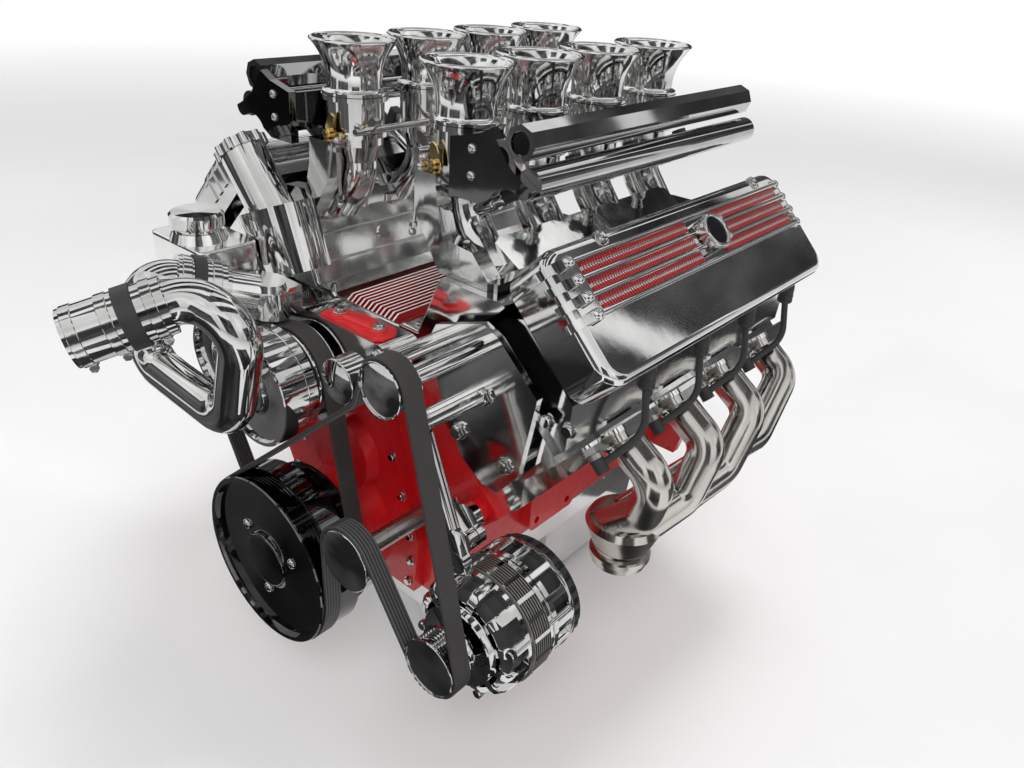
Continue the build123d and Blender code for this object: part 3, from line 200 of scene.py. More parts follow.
def makePolished(name, tone, dull, ripple, size, stretch=None, tarnish=0.82):
    # mirror-polished metal: broad buffing waves, finer waves along the buffing, smears and a little haze
    finish = Finish(name, Metallic=1.0)
    broad = finish.noise(size, 2.0, 0.5, stretch)
    fine = finish.noise(size * polish["fine"], 2.0, 0.5, stretch)
    smear = finish.noise(polish["smear"], 4.0, 0.6, polish["smearStretch"])
    haze = finish.spread(finish.noise(polish["haze"], 4.0, 0.6), *polish["hazeEdges"])
    finish.feed("Base Color", finish.blend(haze, dimmed(tone, tarnish), shade(*tone)))
    finish.feed("Roughness", dull + smear * polish["smearDull"] + haze * polish["hazeDull"])
    under = finish.bump(fine, 1.0, ripple * polish["fineHeight"])
    finish.feed("Normal", finish.bump(broad, 1.0, ripple, under))
    finishes[name] = finish.material


paint = {"peelScale": 260.0, "filmScale": 9.0, "film": 0.75, "filmDull": 0.1, "sandScale": 120.0,
         "coatDull": 0.08}


def makePaint(name, tone, dull, peel, cast=0.0, coat=0.45, mirror=0.5):
    # gloss paint over a casting: orange peel, the casting's sand under it and a darker film in its lows
    finish = Finish(name, Metallic=0.0, Coat_Weight=coat, Coat_Roughness=paint["coatDull"],
                    Specular_IOR_Level=mirror)
    skin = finish.noise(paint["peelScale"], 2.0)
    film = finish.noise(paint["filmScale"], 4.0)
    finish.feed("Base Color", finish.blend(film, dimmed(tone, paint["film"]), shade(*tone)))
    finish.feed("Roughness", dull + film * paint["filmDull"])
    under = finish.bump(finish.noise(paint["sandScale"], 4.0, 0.65), 0.6, cast) if cast else None
    finish.feed("Normal", finish.bump(skin, 0.35, peel, under))
    finishes[name] = finish.material


rubber = {"grainScale": 700.0, "dustScale": 30.0, "dustTone": 1.7, "dustLift": 0.004, "dustDull": 0.15}


def makeRubber(name, tone, dull, grain):
    # rubber or moulded plastic: fine grain, dust-dulled highs
    finish = Finish(name, Metallic=0.0)
    dust = finish.noise(rubber["dustScale"], 4.0)
    dusty = shade(*[value * rubber["dustTone"] + rubber["dustLift"] for value in tone])
    finish.feed("Base Color", finish.blend(dust, shade(*tone), dusty))
    finish.feed("Roughness", dull + dust * rubber["dustDull"])
    finish.feed("Normal", finish.bump(finish.noise(rubber["grainScale"], 2.0), 0.4, grain))
    finishes[name] = finish.material


beltTone = {"clean": (0.020, 0.019, 0.019), "dusty": (0.042, 0.038, 0.036), "crest": (0.075, 0.078, 0.080),
            "dustScale": 26.0, "weaveScale": 900.0, "weave": 0.0001, "dull": 0.5, "dustDull": 0.2,
            "crestDull": 0.12, "crestEdges": (-0.6, 0.7)}


def makeBelt(name, x, z, line):
    # belt rubber: a dusty back, and a running face whose ribs are worn pale.  A face runs on the wheels
    # where it looks towards the loop's middle (x, z), and the crests are where a sine of Y is high
    finish = Finish(name, Metallic=0.0)
    outwardX = finish.facing("X") * (finish.axis("X") - x * mm)
    outwardZ = finish.facing("Z") * (finish.axis("Z") - z * mm)
    running = 1.0 - (outwardX + outwardZ).over(0.0)
    ribs = ((finish.axis("Y") + line * mm) * (2 * pi / (ribPitch * mm)) - pi / 2).sine()
    dust = finish.noise(beltTone["dustScale"], 4.0, 0.6)
    crest = finish.spread(ribs, *beltTone["crestEdges"]) * running
    plain = finish.blend(dust, shade(*beltTone["clean"]), shade(*beltTone["dusty"]))
    finish.feed("Base Color", finish.blend(crest, plain, shade(*beltTone["crest"])))
    finish.feed("Roughness", beltTone["dull"] + dust * beltTone["dustDull"] - crest * beltTone["crestDull"])
    finish.feed("Normal", finish.bump(finish.noise(beltTone["weaveScale"], 1.0), 0.3, beltTone["weave"]))
    finishes[name] = finish.material


# low is painted shade in the bottoms of the V cuts, high is the red on their tops
inlay = {"cutPitch": 0.0042, "cut": 0.0007, "barPitch": 0.018, "barFrom": 0.088, "bar": 0.0012,
         "toothEdges": (0.84, 0.9), "tooth": 0.06, "low": (0.10, 0.003, 0.004), "high": (0.50, 0.012, 0.016),
         "bright": (0.78, 0.76, 0.75), "dull": 0.32, "grimeDull": 0.15, "brightDull": 0.18,
         "grimeScale": 40.0, "cutShadeEdges": (-0.9, 0.5)}


def makeInlay():
    # red paint in a machined ground: V cuts across each inlay, the red painted dark down each cut as painted
    # shade, and a bright toothed rib along its middle.
    # The place across the bank is (|x| - z) / root 2, and the inlays lie one bar pitch apart there
    finish = Finish("redInlay", Metallic=0.0, Coat_Weight=0.35, Coat_Roughness=0.1)
    cuts = (finish.axis("Y") * (2 * pi / inlay["cutPitch"])).sine()
    across = (finish.axis("X").size() - finish.axis("Z")) * 0.5 ** 0.5 + inlay["barFrom"]
    middle = (across * (2 * pi / inlay["barPitch"])).cosine()
    tooth = finish.spread(middle + cuts * inlay["tooth"], *inlay["toothEdges"])
    grime = finish.noise(inlay["grimeScale"], 3.0)
    # red blended from the painted shade at the bottom of each cut to the plain red on its top
    red = finish.blend(finish.spread(cuts, *inlay["cutShadeEdges"]), shade(*inlay["low"]), shade(*inlay["high"]))
    finish.feed("Base Color", finish.blend(tooth, red, shade(*inlay["bright"])))
    finish.feed("Metallic", tooth)
    finish.feed("Roughness", inlay["dull"] + grime * inlay["grimeDull"] - tooth * inlay["brightDull"])
    finish.feed("Normal", finish.bump(middle, 0.5, inlay["bar"], finish.bump(cuts, 0.8, inlay["cut"])))
    finishes["redInlay"] = finish.material


valley = {"red": (0.34, 0.006, 0.010), "bright": (0.9, 0.9, 0.89), "metal": 0.45, "leastRise": 0.15,
          "dull": 0.28, "waveDull": 0.1, "brightDull": 0.1, "wave": 0.0003, "waveScale": 60.0,
          "groundHeight": 0.0023}


def makeValleyRib(floor):
    # polished where a rib faces up or forward and up, red paint between the ribs
    finish = Finish("valleyRed", Coat_Roughness=0.06)
    top = finish.facing("Z").over(valley["leastRise"]) * finish.axis("Z").over(floor)
    wave = finish.noise(valley["waveScale"], 3.0)
    finish.feed("Base Color", finish.blend(top, shade(*valley["red"]), shade(*valley["bright"])))
    finish.feed("Metallic", top * valley["metal"])
    finish.feed("Coat Weight", 1.0 - top)
    finish.feed("Roughness", valley["dull"] + wave * valley["waveDull"] - top * valley["brightDull"])
    finish.feed("Normal", finish.bump(wave, 0.6, valley["wave"]))
    finishes["valleyRed"] = finish.material


stator = {"pitch": 0.0032, "height": 0.0006, "edgeDark": (0.22, 0.21, 0.19), "edgePale": (0.50, 0.48, 0.44),
          "varnish": (0.012, 0.012, 0.012), "dull": 0.24, "wearDull": 0.2, "wearScale": 45.0,
          "sheetEdges": (-0.4, 0.7)}


def makeStator():
    # stacked iron sheets, drawn coarser than real ones: bright worn edges and dark varnish between them
    finish = Finish("statorIron", Metallic=0.85)
    sheets = (finish.axis("Y") * (2 * pi / stator["pitch"])).sine()
    wornAway = finish.noise(stator["wearScale"], 4.0, 0.6)
    edge = finish.blend(wornAway, shade(*stator["edgeDark"]), shade(*stator["edgePale"]))
    bare = finish.spread(sheets, *stator["sheetEdges"])
    finish.feed("Base Color", finish.blend(bare, shade(*stator["varnish"]), edge))
    finish.feed("Roughness", stator["dull"] + wornAway * stator["wearDull"])
    finish.feed("Normal", finish.bump(sheets, 0.8, stator["height"]))
    finishes["statorIron"] = finish.material


exhaust = {"cold": 0.300, "hot": 0.236, "steel": (0.66, 0.64, 0.60), "straw": (0.62, 0.50, 0.34),
           "smoked": (0.45, 0.43, 0.41), "smoke": 0.35, "dull": 0.09, "mottleDull": 0.10, "scratchDull": 0.04,
           "mottleScale": 20.0, "mottleEdges": (0.3, 0.7), "wave": 0.0008, "waveScale": 18.0,
           "scratch": 0.0001, "scratchScale": 160.0, "scratchStretch": (1.0, 1.0, 0.12)}


def makeExhaust():
    # bright steel tube: a straw heat tint that grows from cold to hot along X, smoky mottles, long scratches
    finish = Finish("exhaustSteel", Metallic=1.0)
    heat = finish.spread(finish.axis("X"), exhaust["cold"], exhaust["hot"])
    mottle = finish.noise(exhaust["mottleScale"], 4.0, 0.6)
    scratch = finish.noise(exhaust["scratchScale"], 3.0, 0.6, exhaust["scratchStretch"])
    wave = finish.noise(exhaust["waveScale"], 2.0)
    tinted = finish.blend(heat * mottle, shade(*exhaust["steel"]), shade(*exhaust["straw"]))
    smoke = finish.spread(mottle, *exhaust["mottleEdges"]) * exhaust["smoke"]
    finish.feed("Base Color", finish.blend(smoke, tinted, shade(*exhaust["smoked"])))
    cloudy = exhaust["dull"] + mottle * exhaust["mottleDull"]
    finish.feed("Roughness", cloudy + scratch * exhaust["scratchDull"])
    under = finish.bump(scratch, 0.2, exhaust["scratch"])
    finish.feed("Normal", finish.bump(wave, 1.0, exhaust["wave"], under))
    finishes["exhaustSteel"] = finish.material


# tone, dullness, height of the waves in metres, their size as noise scale, stretch, tone of the haze
polishedFinishes = {
    "polishedAlloy": ((0.82, 0.82, 0.81), 0.05, 0.0007, 18.0, (1.0, 1.0, 0.12), 0.8),
    "coverAlloy": ((0.80, 0.80, 0.79), 0.03, 0.00025, 9.0, None, 0.8),
    "castAlloy": ((0.88, 0.88, 0.87), 0.065, 0.0011, 8.0, None, 0.86),
    "chromePlate": ((0.74, 0.74, 0.73), 0.012, 0.00016, 9.0),
    # chrome with its tone darkened to 0.16: painted reflection of the dark surroundings that the rail plates
    # and crank pulley mirror
    "darkReflectionChrome": ((0.16, 0.16, 0.165), 0.02, 0.0002, 12.0),
    "railChrome": ((0.62, 0.62, 0.62), 0.02, 0.0004, 8.0, (1.0, 0.1, 1.0)),
    "machinedSteel": ((0.50, 0.49, 0.47), 0.24, 0.0003, 40.0),
    "brassFitting": ((0.72, 0.55, 0.26), 0.08, 0.0003, 40.0),
    "boltChrome": ((0.70, 0.70, 0.69), 0.06, 0.0002, 60.0),
}
for name, values in polishedFinishes.items():
    makePolished(name, *values)
makePaint("redEnamel", (0.58, 0.006, 0.010), 0.30, 0.0003, 0.0016)
makePaint("blackEnamel", (0.006, 0.006, 0.007), 0.12, 0.0002, coat=0.0, mirror=0.22)
makeRubber("blackRubber", (0.016, 0.016, 0.017), 0.42, 0.0002)
makeRubber("blackMoulding", (0.014, 0.014, 0.015), 0.35, 0.0001)
makeBelt("beltRubber", 215.0, 150.0, frontLine)
makeBelt("rearBeltRubber", -30.0, 120.0, rearLine)
makeInlay()
makeValleyRib(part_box("valley_ribs")[0][2] + valley["groundHeight"])
makeStator()
makeExhaust()
print("finishes", len(finishes))

worn = {
    "redEnamel": ["engine_block", "timing_cover"],
    "redInlay": ["coil_cover_inlays"],
    "valleyRed": ["valley_ribs"],
    "polishedAlloy": ["intake_runners_left", "intake_runners_right", "throttle_bodies_left",
                      "throttle_bodies_right", "velocity_stacks_left", "velocity_stacks_right"],
    "castAlloy": ["oil_pan", "cylinder_head_left", "cylinder_head_right", "valve_cover_left",
                  "valve_cover_right", "intake_base", "water_pump", "steering_pump", "pulley_bracket",
                  "alternator_bracket"],
    "coverAlloy": ["coil_cover_left", "coil_cover_right"],
    "railChrome": ["fuel_rails_left", "fuel_rails_right"],
    "chromePlate": ["radiator_pipe", "pipe_sleeves", "reservoir_cap", "filler_housing", "filler_cap",
                    "alternator_case", "adjuster_rod", "pump_pulley", "lower_idler", "upper_idler",
                    "alternator_pulley", "top_pulley", "steering_pulley"],
    # rail plates and crank pulley wear chrome darkened as painted reflection
    "darkReflectionChrome": ["rail_plates", "crank_pulley"],
    "exhaustSteel": ["header_left", "header_right"],
    "machinedSteel": ["spark_plugs", "idler_shaft", "crank_flange"],
    "brassFitting": ["throttle_plates"],
    "boltChrome": ["throttle_linkage"],
    "blackEnamel": ["medallions"],
    "blackRubber": ["plug_leads_left", "plug_leads_right", "pipe_bands"],
    "beltRubber": ["front_belt"],
    "rearBeltRubber": ["rear_belt"],
    "blackMoulding": ["coil_packs_left", "coil_packs_right", "injectors"],
    "statorIron": ["alternator_stator"],
}


def wear(piece, name):
    piece.data.materials.clear()
    piece.data.materials.append(finishes[name])


for name, covered in worn.items():
    for node in covered:
        wear(nodes[node], name)


# surfaces worked out with numpy: shapes are in millimetres until they are made

bores = [-91.6, -203.4, -315.2, -427.0]
bankUp, bankOut = np.array([1, 0, 1]) / 2 ** 0.5, np.array([1, 0, -1]) / 2 ** 0.5   # the driver's bank
along = np.array([0.0, 1.0, 0.0])
aloft, ahead, aside = (0, 0, 1), (0, -1, 0), (1, 0, 0)


def unit(way):
    # the way divided by its length
    return np.asarray(way, float) / np.linalg.norm(way)


def net(points, loopRows=False, loopColumns=True):
    # a rows-by-columns grid of points, each joined to its right and upper neighbours
    rows, columns = points.shape[:2]
    index = np.arange(rows * columns).reshape(rows, columns)
    if loopRows:
        index = np.vstack([index, index[:1]])
    if loopColumns:
        index = np.hstack([index, index[:, :1]])
    quads = np.stack([index[:-1, :-1], index[:-1, 1:], index[1:, 1:], index[1:, :-1]], -1)
    return points.reshape(-1, 3), quads.reshape(-1, 4)


def turned(profile, columns=48, sides=6, loop=False):
    # (radius, height) pairs carried round Z.  A third value of 1 gives flat sides: the radius is
    # divided by the cosine of the angle from the middle of its side
    table = np.array([tuple(p) + (0,) * (3 - len(p)) for p in profile], float)
    turn = np.linspace(0, 2 * pi, columns, endpoint=False)
    side = 2 * pi / sides
    flat = 1 / np.cos((turn + side / 2) % side - side / 2)
    reach = table[:, :1] * (1 + table[:, 2:] * (flat - 1))
    height = np.repeat(table[:, 1:2], columns, 1)
    return net(np.stack([reach * np.cos(turn), reach * np.sin(turn), height], -1), loopRows=loop)


def smoothArc(cx, cz, radius, start, end, count):
    # points on a circle from one angle to another, in degrees
    turn = np.radians(np.linspace(start, end, count))
    return list(zip(cx + radius * np.cos(turn), cz + radius * np.sin(turn)))


def tube(path, radius, columns=16):
    # a circle carried along a line of points, square to the line's direction at each, with closed ends
    path = np.asarray(path, float)
    way = np.gradient(path, axis=0)
    way /= np.linalg.norm(way, axis=1, keepdims=True)
    side = np.cross(way, [0.31, 0.87, 0.38])      # any direction that no tube here runs in
    side /= np.linalg.norm(side, axis=1, keepdims=True)
    rise = np.cross(way, side)
    turn = np.linspace(0, 2 * pi, columns, endpoint=False)[:, None]
    points = path[:, None] + (side[:, None] * np.cos(turn) + rise[:, None] * np.sin(turn)) * radius
    ends = [np.repeat(path[i][None, None], columns, 1) for i in (0, -1)]
    return net(np.concatenate([ends[0], points, ends[1]]))


def extruded(outline, low, high, edge=0.8):
    # a closed outline drawn in X and Y, carried up Z with a small bevel at both ends: the outline
    # shrinks towards its middle by the bevel, and the caps are fans to that middle
    outline = np.asarray(outline, float)
    middle = outline.mean(0)
    size = np.linalg.norm(outline - middle, axis=1).mean()
    small = middle + (outline - middle) * (1 - edge / size)
    centre = np.repeat(middle[None], len(outline), 0)
    rows = [(centre, low), (small, low), (outline, low + edge), (outline, high - edge), (small, high),
            (centre, high)]
    return net(np.stack([np.column_stack([flat, np.full(len(flat), z)]) for flat, z in rows]))


def placed(shape, spots, way, side=aloft):
    # copies of a shape at each spot, its Z turned to the way and its X as near as it can be to the side
    z = unit(way)
    side = np.asarray(side, float)
    if abs(side @ z) > 0.99:
        side = along
    x = unit(side - (side @ z) * z)
    turn = np.column_stack([x, np.cross(z, x), z])
    spots = np.atleast_2d(np.asarray(spots, float))
    points, quads = shape
    everyPoint = (points @ turn.T)[None] + spots[:, None]
    everyQuad = quads[None] + (np.arange(len(spots)) * len(points))[:, None, None]
    return everyPoint.reshape(-1, 3), everyQuad.reshape(-1, 4)


def merged(*shapes):
    # shapes as one: each one's faces count on from the points before it
    start = np.cumsum([0] + [len(points) for points, quads in shapes])
    return (np.concatenate([points for points, quads in shapes]),
            np.concatenate([quads + begin for (points, quads), begin in zip(shapes, start)]))


def mirrored(shape):
    # the other side of the engine: X changes sign and each face is turned over
    return shape[0] * [-1, 1, 1], shape[1][:, ::-1]


def bothSides(shape):
    # the shape and its mirror image
    return merged(shape, mirrored(shape))


def make(name, shape, finish, body=root, sharp=32.0, stands=()):
    # points that coincide become one, and a face that loses a corner by that becomes a triangle
    points, quads = shape
    points, where = np.unique(np.round(points, 4), axis=0, return_inverse=True)
    quads = where.reshape(-1)[quads]
    keep = quads != np.roll(quads, 1, axis=1)
    full, three = keep.sum(1) == 4, keep.sum(1) == 3
    faces = quads[full].tolist() + quads[three][keep[three]].reshape(-1, 3).tolist()
    mesh = bpy.data.meshes.new(name)
    mesh.from_pydata((points * mm).tolist(), [], faces)
    mesh.shade_smooth()
    mesh.set_sharp_from_angle(angle=radians(sharp))
    piece = bpy.data.objects.new(name, mesh)
    bpy.context.scene.collection.objects.link(piece)
    wear(piece, finish)
    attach(piece, body)
    if stands:
        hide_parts(*stands)


def boltShape(radius, height, kind="socket"):
    # a head's profile turned round Z, its flat sides or recess by the third value of turned
    if kind == "socket":    # round head with a six-sided recess
        profile = [(0, 0), (radius, 0), (radius, height * 0.82), (radius * 0.86, height),
                   (radius * 0.6, height), (radius * 0.5, height - 0.3, 1),
                   (radius * 0.5, height * 0.45, 1), (0, height * 0.4)]
    elif kind == "button":  # low dome with a six-sided recess
        dome = [(radius * cos(a), height * (0.15 + 0.85 * sin(a))) for a in np.linspace(0.2, 1.15, 6)]
        profile = [(0, 0), (radius, 0), (radius, height * 0.15)] + dome + [
            (radius * 0.34, height * 0.93, 1), (radius * 0.34, height * 0.4, 1), (0, height * 0.35)]
    else:                   # six-sided head on a washer, with chamfered corners
        profile = [(0, 0), (radius * 1.3, 0), (radius * 1.3, 1.2), (radius * 1.22, 1.5),
                   (radius * 0.9, 1.5, 1), (radius * 0.9, height - 0.8, 1), (radius * 0.84, height),
                   (0, height)]
    return turned(profile, 24)


# velocity stacks

stack = {"x": 84.865, "low": 484.32, "top": 542.66, "throat": 27.5, "wall": 3.0, "rim": 48.2, "lip": 2.6,
         "flange": 36.0, "thick": 4.0, "neck": 12.0, "fillet": 4.0, "chamfer": 0.6}


def makeStacks():
    # one closed profile turned: flange, fillet, an arc that leaves the throat straight up, a rolled lip, and
    # the same arc back down inside.  The arc's radius is (across squared + rise squared) / (2 across)
    low, neck, lipZ = stack["low"], stack["low"] + stack["neck"], stack["top"] - stack["lip"]
    outer, inner = stack["throat"] + stack["wall"], stack["throat"]

    def flare(radius, rim):
        across, rise = rim - radius, lipZ - neck
        bend = (across ** 2 + rise ** 2) / (2 * across)
        turn = np.linspace(0, np.arcsin(rise / bend), 26)
        return list(zip(radius + bend * (1 - np.cos(turn)), neck + bend * np.sin(turn)))

    edge, shelf, cut = stack["flange"], low + stack["thick"], stack["chamfer"]
    flange = [(inner, low), (edge - cut, low), (edge, low + cut), (edge, shelf - cut), (edge - cut, shelf)]
    fillet = smoothArc(outer + stack["fillet"], shelf + stack["fillet"], stack["fillet"], 270, 180, 7)
    lip = smoothArc(stack["rim"] - stack["lip"], lipZ, stack["lip"], 0, 180, 13)
    inside = flare(inner, stack["rim"] - 2 * stack["lip"])
    profile = flange + fillet + flare(outer, stack["rim"])[:-1] + lip + inside[-2::-1]
    shape = turned(profile, 96, loop=True)
    row = placed(shape, [(stack["x"], y, 0) for y in bores], aloft, aside)
    make("stacksLeft", row, "polishedAlloy", sharp=40, stands=("velocity_stacks_left",))
    make("stacksRight", mirrored(row), "polishedAlloy", sharp=40, stands=("velocity_stacks_right",))


# wheels that the belts run on

ribs = {"count": 6, "deep": 2.6, "half": 11.5, "rim": 2.5, "land": 2.0, "chamfer": 0.5, "slope": 0.4}
dish = {"slope": 1.5, "skirt": 6, "step": 1.0, "foot": 2, "round": 3}


def ribbedBand(radius, middle):
    # flange, then six V grooves side by side, then flange: the radius falls and rises once each pitch
    rim, land, cut, slope = radius + ribs["rim"], ribs["land"], ribs["chamfer"], ribs["slope"]
    back, face = middle - ribs["half"], middle + ribs["half"]
    start = middle - ribPitch * ribs["count"] / 2
    grooves = [(radius - ribs["deep"] * (n % 2), start + ribPitch * n / 2)
               for n in range(2 * ribs["count"] + 1)]
    return ([(rim - cut, back - land), (rim, back - land + cut), (rim, back - slope), (radius, back)]
            + grooves
            + [(radius, face), (rim, face + slope), (rim, face + land - cut), (rim - cut, face + land)])


def dished(radius, face, lip, deep, hub, proud):
    # front of a wheel: a lip, a hollow face that rises to a rounded hub
    floor, foot, bend = face - deep, dish["foot"], dish["round"]
    return [(radius, face), (radius - lip, face), (radius - lip - dish["slope"], floor),
            (hub + dish["skirt"], floor - dish["step"]), (hub + foot, floor), (hub, floor + foot)
            ] + smoothArc(hub - bend, face - proud - bend, bend, 0, 90, 5) + [(0, face - proud)]


def domed(radius, face, crown=2.2, edge=1.6):
    # smooth cap: a rounded rim, then a crown that falls by the square of the radius
    arc = smoothArc(radius - edge, face - crown - edge, edge, 0, 75, 6)
    rim = arc[-1][0]
    return arc + [(r, face - crown * (r / rim) ** 2) for r in np.linspace(rim, 0, 12)]


wheels = {   # profiles run from the back's middle to the front's: radius and distance forward
    "crankWheel": {"node": "crank_pulley", "at": (0.0, 0.0), "finish": "darkReflectionChrome",
                   "profile": [(0, 562.3), (32, 562.3), (32, 569.5)] + ribbedBand(88, rearLine)
                   + [(104.5, 596.5)] + ribbedBand(101, frontLine) + [(105, 648.5), (104, 650)]
                   + dished(103.5, 650, 5, 7, 34, 1)},
    "pumpWheel": {"node": "pump_pulley", "at": (0.0, 222.0), "finish": "chromePlate",
                  "profile": [(0, 564), (22, 564), (22, 569.5)] + ribbedBand(50, rearLine)
                  + [(60.0, 604.5), (61, 605.5), (61, 616), (60.2, 616.6), (60.2, 617.6), (61, 618.2),
                     (61, 645.5), (60, 646.5)] + dished(59.5, 646.5, 3, 4, 22, 0.5)},
    "lowerIdler": {"node": "lower_idler", "at": (139.98, 81.03), "finish": "chromePlate",
                   "profile": [(0, 620.5), (33, 620.5), (34.6, 621.5), (34.6, 624), (34.9, 624.5),
                               (34.9, 643)] + domed(34.9, 647.5)},
    "upperIdler": {"node": "upper_idler", "at": (140.97, 290.0), "finish": "chromePlate",
                   "profile": [(0, 620.5), (20.5, 620.5), (21.9, 622), (21.9, 643)] + domed(21.9, 647.5)},
    "alternatorWheel": {"node": "alternator_pulley", "at": (264.96, 25.01), "finish": "chromePlate",
                        "profile": [(0, 614.5), (10, 614.5), (10, 620.5)] + ribbedBand(30, frontLine)
                        + domed(31.5, 647.5, 1.4)},
    "topWheel": {"node": "top_pulley", "at": (199.97, 306.0), "finish": "chromePlate",
                 "profile": [(0, 620.5)] + ribbedBand(24, frontLine) + domed(25.5, 647.5, 1.6)},
    "steeringWheelPulley": {"node": "steering_pulley", "at": (-140.0, 190.0), "finish": "chromePlate",
                            "profile": [(0, 564), (20, 564), (20, 569.5)] + ribbedBand(52, rearLine)
                            + dished(53.5, 596.5, 3, 5, 18, 1)},
}
wheelBolts = {   # radius of the circle, how many, bolt radius, bolt height, distance forward
    "crankWheel": (48.0, 3, 6.5, 5.0, 642.0), "pumpWheel": (14.0, 4, 4.0, 0.5, 646.0),
    "steeringWheelPulley": (11.0, 3, 3.5, 0.5, 595.5),
}
firstBolt = 0.4                        # its angle on the circle, in radians


def makeWheels():
    # each profile turned round its wheel's axis, and bolts evenly round a circle
    for name, wheel in wheels.items():
        x, z = wheel["at"]
        shape = placed(turned(wheel["profile"], 120), [(x, 0, z)], ahead)
        body = body_of(nodes[wheel["node"]])[0]
        make(name, shape, wheel["finish"], body, stands=(wheel["node"],))
        if name in wheelBolts:
            circle, count, radius, height, forward = wheelBolts[name]
            turn = np.linspace(0, 2 * pi, count, endpoint=False) + firstBolt
            spots = np.column_stack([x + circle * np.cos(turn), np.full(count, -forward),
                                     z + circle * np.sin(turn)])
            bolts = placed(boltShape(radius, height, "button"), spots, ahead)
            make(name + "Bolts", bolts, "boltChrome", body)


# belts: loops round the wheels by their tangents, with V ribs along the running face

belt = {"gap": 0.4, "thick": 4.5, "half": 10.7, "ribs": 6, "deep": 1.8, "tip": 0.35, "valley": 0.15,
        "chamfer": 0.5, "step": 2.5}
beltRuns = {   # node, finish, how far forward, and the wheels: radius, and 1 inside the loop or -1 outside
    "frontBelt": ("front_belt", "beltRubber", frontLine,
                  [("crankWheel", 101.0, 1), ("lowerIdler", 35.0, -1), ("alternatorWheel", 30.0, 1),
                   ("topWheel", 24.0, 1), ("upperIdler", 22.0, -1)]),
    "rearBelt": ("rear_belt", "rearBeltRubber", rearLine,
                 [("crankWheel", 88.0, 1), ("pumpWheel", 50.0, 1), ("steeringWheelPulley", 52.0, 1)]),
}


def beltLine(circuit):
    # places along the running face, and the ways out of the loop there.  Between two wheels the way out
    # lies a right angle behind the line of their centres, less the arcsine of the difference of their
    # reaches over the distance.  On a wheel it turns from one such way to the next
    x, z, radius, side = np.array([(*wheels[name]["at"], size, side) for name, size, side in circuit]).T
    reach = side * (radius + np.where(side > 0, belt["gap"], belt["thick"] + belt["gap"]))
    acrossX, acrossZ = np.roll(x, -1) - x, np.roll(z, -1) - z
    lean = np.arcsin((np.roll(reach, -1) - reach) / np.hypot(acrossX, acrossZ))
    leave = np.arctan2(acrossZ, acrossX) - lean - pi / 2
    arrive = np.roll(leave, 1)
    turn = np.where(side > 0, (leave - arrive) % (2 * pi), -((arrive - leave) % (2 * pi)))
    points, ways = [], []
    for n in range(len(circuit)):
        steps = int(abs(turn[n] * reach[n]) / belt["step"]) + 3
        angle = arrive[n] + turn[n] * np.linspace(0, 1, steps)
        way = np.column_stack([np.cos(angle), np.sin(angle)])
        points.append(np.array([x[n], z[n]]) + reach[n] * way)
        ways.append(way)
    return np.concatenate(points), np.concatenate(ways)


def makeBelts():
    # a closed section carried round the loop: each of its points is so far out and so far across the belt
    half, thick, deep, cut = belt["half"], belt["thick"], belt["deep"], belt["chamfer"]
    section = [(half - cut, thick), (cut - half, thick), (-half, thick - cut), (-half, deep)]
    for n in range(belt["ribs"]):
        middle = (n + 0.5 - belt["ribs"] / 2) * ribPitch
        between = middle + ribPitch / 2
        section += [(middle - belt["tip"], 0), (middle + belt["tip"], 0)]
        if n < belt["ribs"] - 1:
            section += [(between - belt["valley"], deep), (between + belt["valley"], deep)]
    section += [(half, deep), (half, thick - cut)]
    for name, (node, finish, line, circuit) in beltRuns.items():
        points, ways = beltLine(circuit)
        rows = [np.column_stack([points[:, 0] + ways[:, 0] * out, np.full(len(points), across - line),
                                 points[:, 1] + ways[:, 1] * out]) for across, out in section]
        make(name, net(np.stack(rows), loopRows=True), finish, stands=(node,))


# bolts and screws, as places, the way they face, radius, height and kind

def onBank(rise, y, across):
    # a place on the driver's bank, up the bore and out across it
    return bankUp * rise + bankOut * across + along * y


oneSide = {
    "footBolts": ([(172.0, y + side * 36, 350.3) for y in bores for side in (-1, 1)], aloft, 4.6, 4.5,
                  "socket"),
    "plateScrews": ([(150.5, -488.4, 478.0), (150.5, -488.4, 453.0)], ahead, 4.6, 3.0, "button"),
    "coverScrews": ([onBank(459.2, y, -108.0) for y in (-85.7, -408.2)], bankUp, 4.4, 4.2, "button"),
    "headFrontBolts": ([(269.3, -495.0, 244.3), (295.8, -495.0, 245.0)], ahead, 6.6, 7.0, "hex"),
    "flangeBolts": ([onBank(329.7, y + 50 + side * 27.5, 75.4) for y in bores for side in (-1, 1)], bankOut,
                    5.6, 6.5, "hex"),
    "panBolts": ([(126.0, y, -67.1) for y in np.linspace(-485, -20, 9)], (0, 0, -1), 4.4, 5.0, "hex"),
    "timingBolts": ([(103.0, -519.1, -48.0), (107.0, -519.1, -14.0), (105.0, -519.1, 22.0),
                     (91.0, -519.1, 72.0), (76.0, -519.1, 120.0), (55.0, -519.1, 166.0)], ahead, 4.6, 4.6,
                    "hex"),
    "coverFeet": ([onBank(357.0, y, 40.0) for y in (-60.0, -175.0, -259.0, -343.0, -458.0)],
                  (0.966, 0, -0.259), 3.6, 3.0, "button"),
}
driverOnly = {
    "bracketBolts": ([(204.0, -513.3, 250.0), (236.0, -513.3, 184.0), (172.0, -513.3, 196.0)], ahead,
                     7.5, 8.0, "hex"),
    "pumpBolts": ([(-99.0, -563.8, 248.0), (-99.0, -563.8, 274.0), (104.0, -563.8, 248.0),
                   (104.0, -563.8, 274.0), (-58.0, -563.8, 196.0), (58.0, -563.8, 196.0)], ahead, 5.6, 6.5,
                  "hex"),
    "neckBolts": ([(-71.0, -586.0, 308.2), (-25.0, -586.0, 308.2)], aloft, 4.4, 6.0, "hex"),
}


